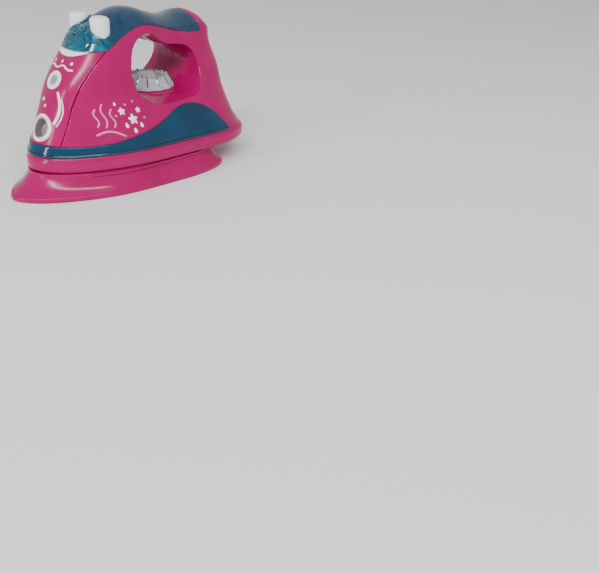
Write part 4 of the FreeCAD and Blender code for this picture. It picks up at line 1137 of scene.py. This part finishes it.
# Pump, tank, carrier and spindle are moulded undyed: milky, with a waxy sheen.
NATURAL = moulded_plastic("natural polypropylene", "#E6E5DE", "#DEDDD5", 0.4)
# The tubes are extruded, smooth and a little yellow-green.
VINYL = moulded_plastic("clear vinyl tube", "#D5DAD6", "#CBD1CC", 0.3)
# The battery box, switch, chip and speaker are moulded plain, black and dull.
BLACK = moulded_plastic("black ABS", "#1A1A1C", "#141416", 0.45)
# The boards are printed with a green lacquer that shines a little.
BOARD = moulded_plastic("green board lacquer", "#1E6B3C", "#195F35", 0.3)
# The cells are wrapped in a shrunk film, dark and shiny.
CELL = moulded_plastic("printed cell sleeve", "#3A3C46", "#2E3038", 0.3)
# The lens and the lamp are moulded frosted and look grey with nothing lit behind them.
LENS = moulded_plastic("frosted lens", "#B4AEB0", "#8C8488", 0.25, drift_size=9.0)
# The inks are pad printed: flat, thin and less shiny than the casing under them.
PINK_INK = moulded_plastic("pale pink ink", "#E67FB0", "#E076A8", 0.35)
WHITE_INK = moulded_plastic("white ink", "#F7F3F6", "#F1ECF0", 0.35)
# Springs, clips, contacts and screws.
STEEL = plated_metal("zinc plated steel", "#B9BABD", 0.28)
# The cup behind the lens is sprayed silver; its colour is painted a dark grey, painted shade for the recess
# it lies in.
SILVER_IN_PAINTED_SHADE = moulded_plastic("silvered cup", "#857E81", "#655F62", 0.3)

NODE_FINISHES = {
    MAGENTA: "base_tray skirt left_body_half right_body_half front_fascia",
    BLUE_COVER: "top_cover filler_plug",
    BLUE_BAND: "side_band",
    WHITE: "nose_trim lamp_bezel spray_bezel spray_button sound_button",
    GREY: "spray_nozzle sole_plate battery_door",
    SILVER_IN_PAINTED_SHADE: "lamp_reflector",
    LENS: "lamp_lens lamp_led",
    STEEL: "spray_spring sound_spring click_spring dial_clip battery_contacts half_screws sole_screws",
    BLACK: "battery_box tact_switch board_chip speaker",
    CELL: "battery_cells",
    NATURAL: "button_carrier pump_cylinder pump_piston water_tank speaker_ring dial_spindle",
    VINYL: "suction_tube spray_tube",
    BOARD: "switch_board circuit_board",
    DIAL_CLEAR: "heat_dial",
}
for finish, node_names in NODE_FINISHES.items():
    for node_name in node_names.split():
        paint(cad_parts[node_name], finish)


def camera():
    """The photograph's view, from the front left and above. The lens comes from the focal
    length and the photograph's width, both in pixels."""
    sensor_width = 36.0
    focal_pixels, photo_pixels = 640.0, 599.0
    place = Vector((-320.63, -415.26, 199.16))
    forward = Vector((0.69037, 0.50184, -0.52109)).normalized()
    right = Vector((0.61332, -0.78801, 0.05366)).normalized()
    data = bpy.data.cameras.new("photo_view")
    data.sensor_width = sensor_width
    data.lens = focal_pixels / photo_pixels * sensor_width
    data.clip_start = 10.0 * MM
    piece = add_object("photo_view", data)
    turn = Matrix((right, right.cross(forward), -forward)).transposed()
    piece.matrix_world = Matrix.Translation(place * MM) @ turn.to_4x4()
    bpy.context.scene.camera = piece


# The studio, in metres and watts: an even white room, a long strip of light as from a
# window over the near side, and a thin one that draws a line down the nose.
FLOOR_REACH = 6.0
ROOM_BRIGHTNESS = 0.62
STRIP_LIGHTS = (
    ("key", (-0.9, -0.9, 1.3), (0.0, 0.0, 0.05), (1.8, 0.16), 30.0),
    ("nose", (-1.4, 0.1, 0.5), (0.0, 0.0, 0.06), (0.08, 0.7), 5.0),
)


def strip_light(name, place, target, size, power):
    data = bpy.data.lights.new(name, "AREA")
    data.shape = "RECTANGLE"
    data.size, data.size_y = size
    data.energy = power
    piece = add_object(name, data)
    piece.location = place
    piece.rotation_euler = (Vector(target) - Vector(place)).to_track_quat("-Z", "Y").to_euler()


def studio():
    mesh = bpy.data.meshes.new("floor")
    corners = ((-1, -1), (1, -1), (1, 1), (-1, 1))
    mesh.from_pydata([(x * FLOOR_REACH, y * FLOOR_REACH, 0) for x, y in corners], [], [(0, 1, 2, 3)])
    floor = add_object("floor", mesh)
    # Smooth matt paper, with drifts too slow to show as a pattern.
    paint(floor, moulded_plastic("pale floor", "#F3F3F3", "#F1F1F1", 0.7, drift_size=900.0))
    world = bpy.data.worlds.new("studio")
    world.use_nodes = True
    background = world.node_tree.nodes["Background"]
    background.inputs["Color"].default_value = (1.0, 1.0, 1.0, 1.0)
    background.inputs["Strength"].default_value = ROOM_BRIGHTNESS
    bpy.context.scene.world = world
    for light in STRIP_LIGHTS:
        strip_light(*light)


def dress(piece, material, body, slot, *nodes):
    """Paints a finished piece and hides the nodes that it stands for. The slot is not used."""
    paint(piece, material)
    if nodes:
        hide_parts(*nodes)
    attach(piece, body)
    return piece


camera()
studio()

# The shells are remade on grids of these sizes, fine enough for their edges.
SHELL_GRID = 0.82
PANEL_GRID = 0.5
near_shell = moulded_copy("left_body_half", "left_shell", SHELL_GRID, (HULL, HAND))
far_shell = moulded_copy("right_body_half", "right_shell", SHELL_GRID, (HULL, HAND))
front_panel = moulded_copy("front_fascia", "front_panel", PANEL_GRID, (HULL,))
for shell in (near_shell, far_shell, front_panel):
    dress(shell, MAGENTA, "iron", "magenta_gloss")
for label, side, shell in (("near", -1, near_shell), ("far", 1, far_shell)):
    pink, white = side_prints(skin_tree(shell), side)
    dress(pink.made(label + "_pink_print"), PINK_INK, "iron", None)
    dress(white.made(label + "_white_print"), WHITE_INK, "iron", None)
    dress(seam_bead(side), MAGENTA, "iron", "magenta_gloss")
dress(front_prints(skin_tree(front_panel)).made("front_print"), WHITE_INK, "iron", None)

for node, name, grid_size, guides, finish, body, slot in (
        ("top_cover", "clear_cover", 0.5, (HULL, CROWN), BLUE_COVER, "iron", "blue_clear"),
        ("filler_plug", "filler_cap", 0.25, (), BLUE_COVER, "filler", "blue_clear"),
        ("nose_trim", "white_crescent", 0.3, (HULL,), WHITE, "iron", "white_gloss"),
        ("lamp_reflector", "lamp_cup", 0.25, (), SILVER_IN_PAINTED_SHADE, "iron", "reflector_silver"),
        ("spray_nozzle", "spray_tip", 0.2, (), GREY, "iron", "grey_matte")):
    dress(moulded_copy(node, name, grid_size, guides), finish, body, slot)

dress(bezel("lamp_ring", *LAMP_RING), WHITE, "iron", "white_gloss", "lamp_bezel")
dress(bezel("spray_ring", *SPRAY_RING), WHITE, "iron", "white_gloss", "spray_bezel")
dress(skirt(), MAGENTA, "iron", "magenta_gloss", "skirt")
for strip in neck_strips():
    dress(strip, MAGENTA, "iron", "magenta_gloss")
dress(tray(), MAGENTA, "iron", "magenta_gloss", "base_tray")
dress(side_band(), BLUE_BAND, "iron", "blue_clear", "side_band")
dress(button("spray_key", -BUTTON_OFFSET, SPRAY_ROD_LOW), WHITE, "spray_push", "white_gloss", "spray_button")
dress(button("sound_key", BUTTON_OFFSET, SOUND_ROD_LOW), WHITE, "sound_push", "white_gloss", "sound_button")
dress(dial(), DIAL_CLEAR, "dial", "dial_clear", "heat_dial")
dress(dial_studs(DIAL_CLEAR), DIAL_CLEAR, "dial", "dial_clear")
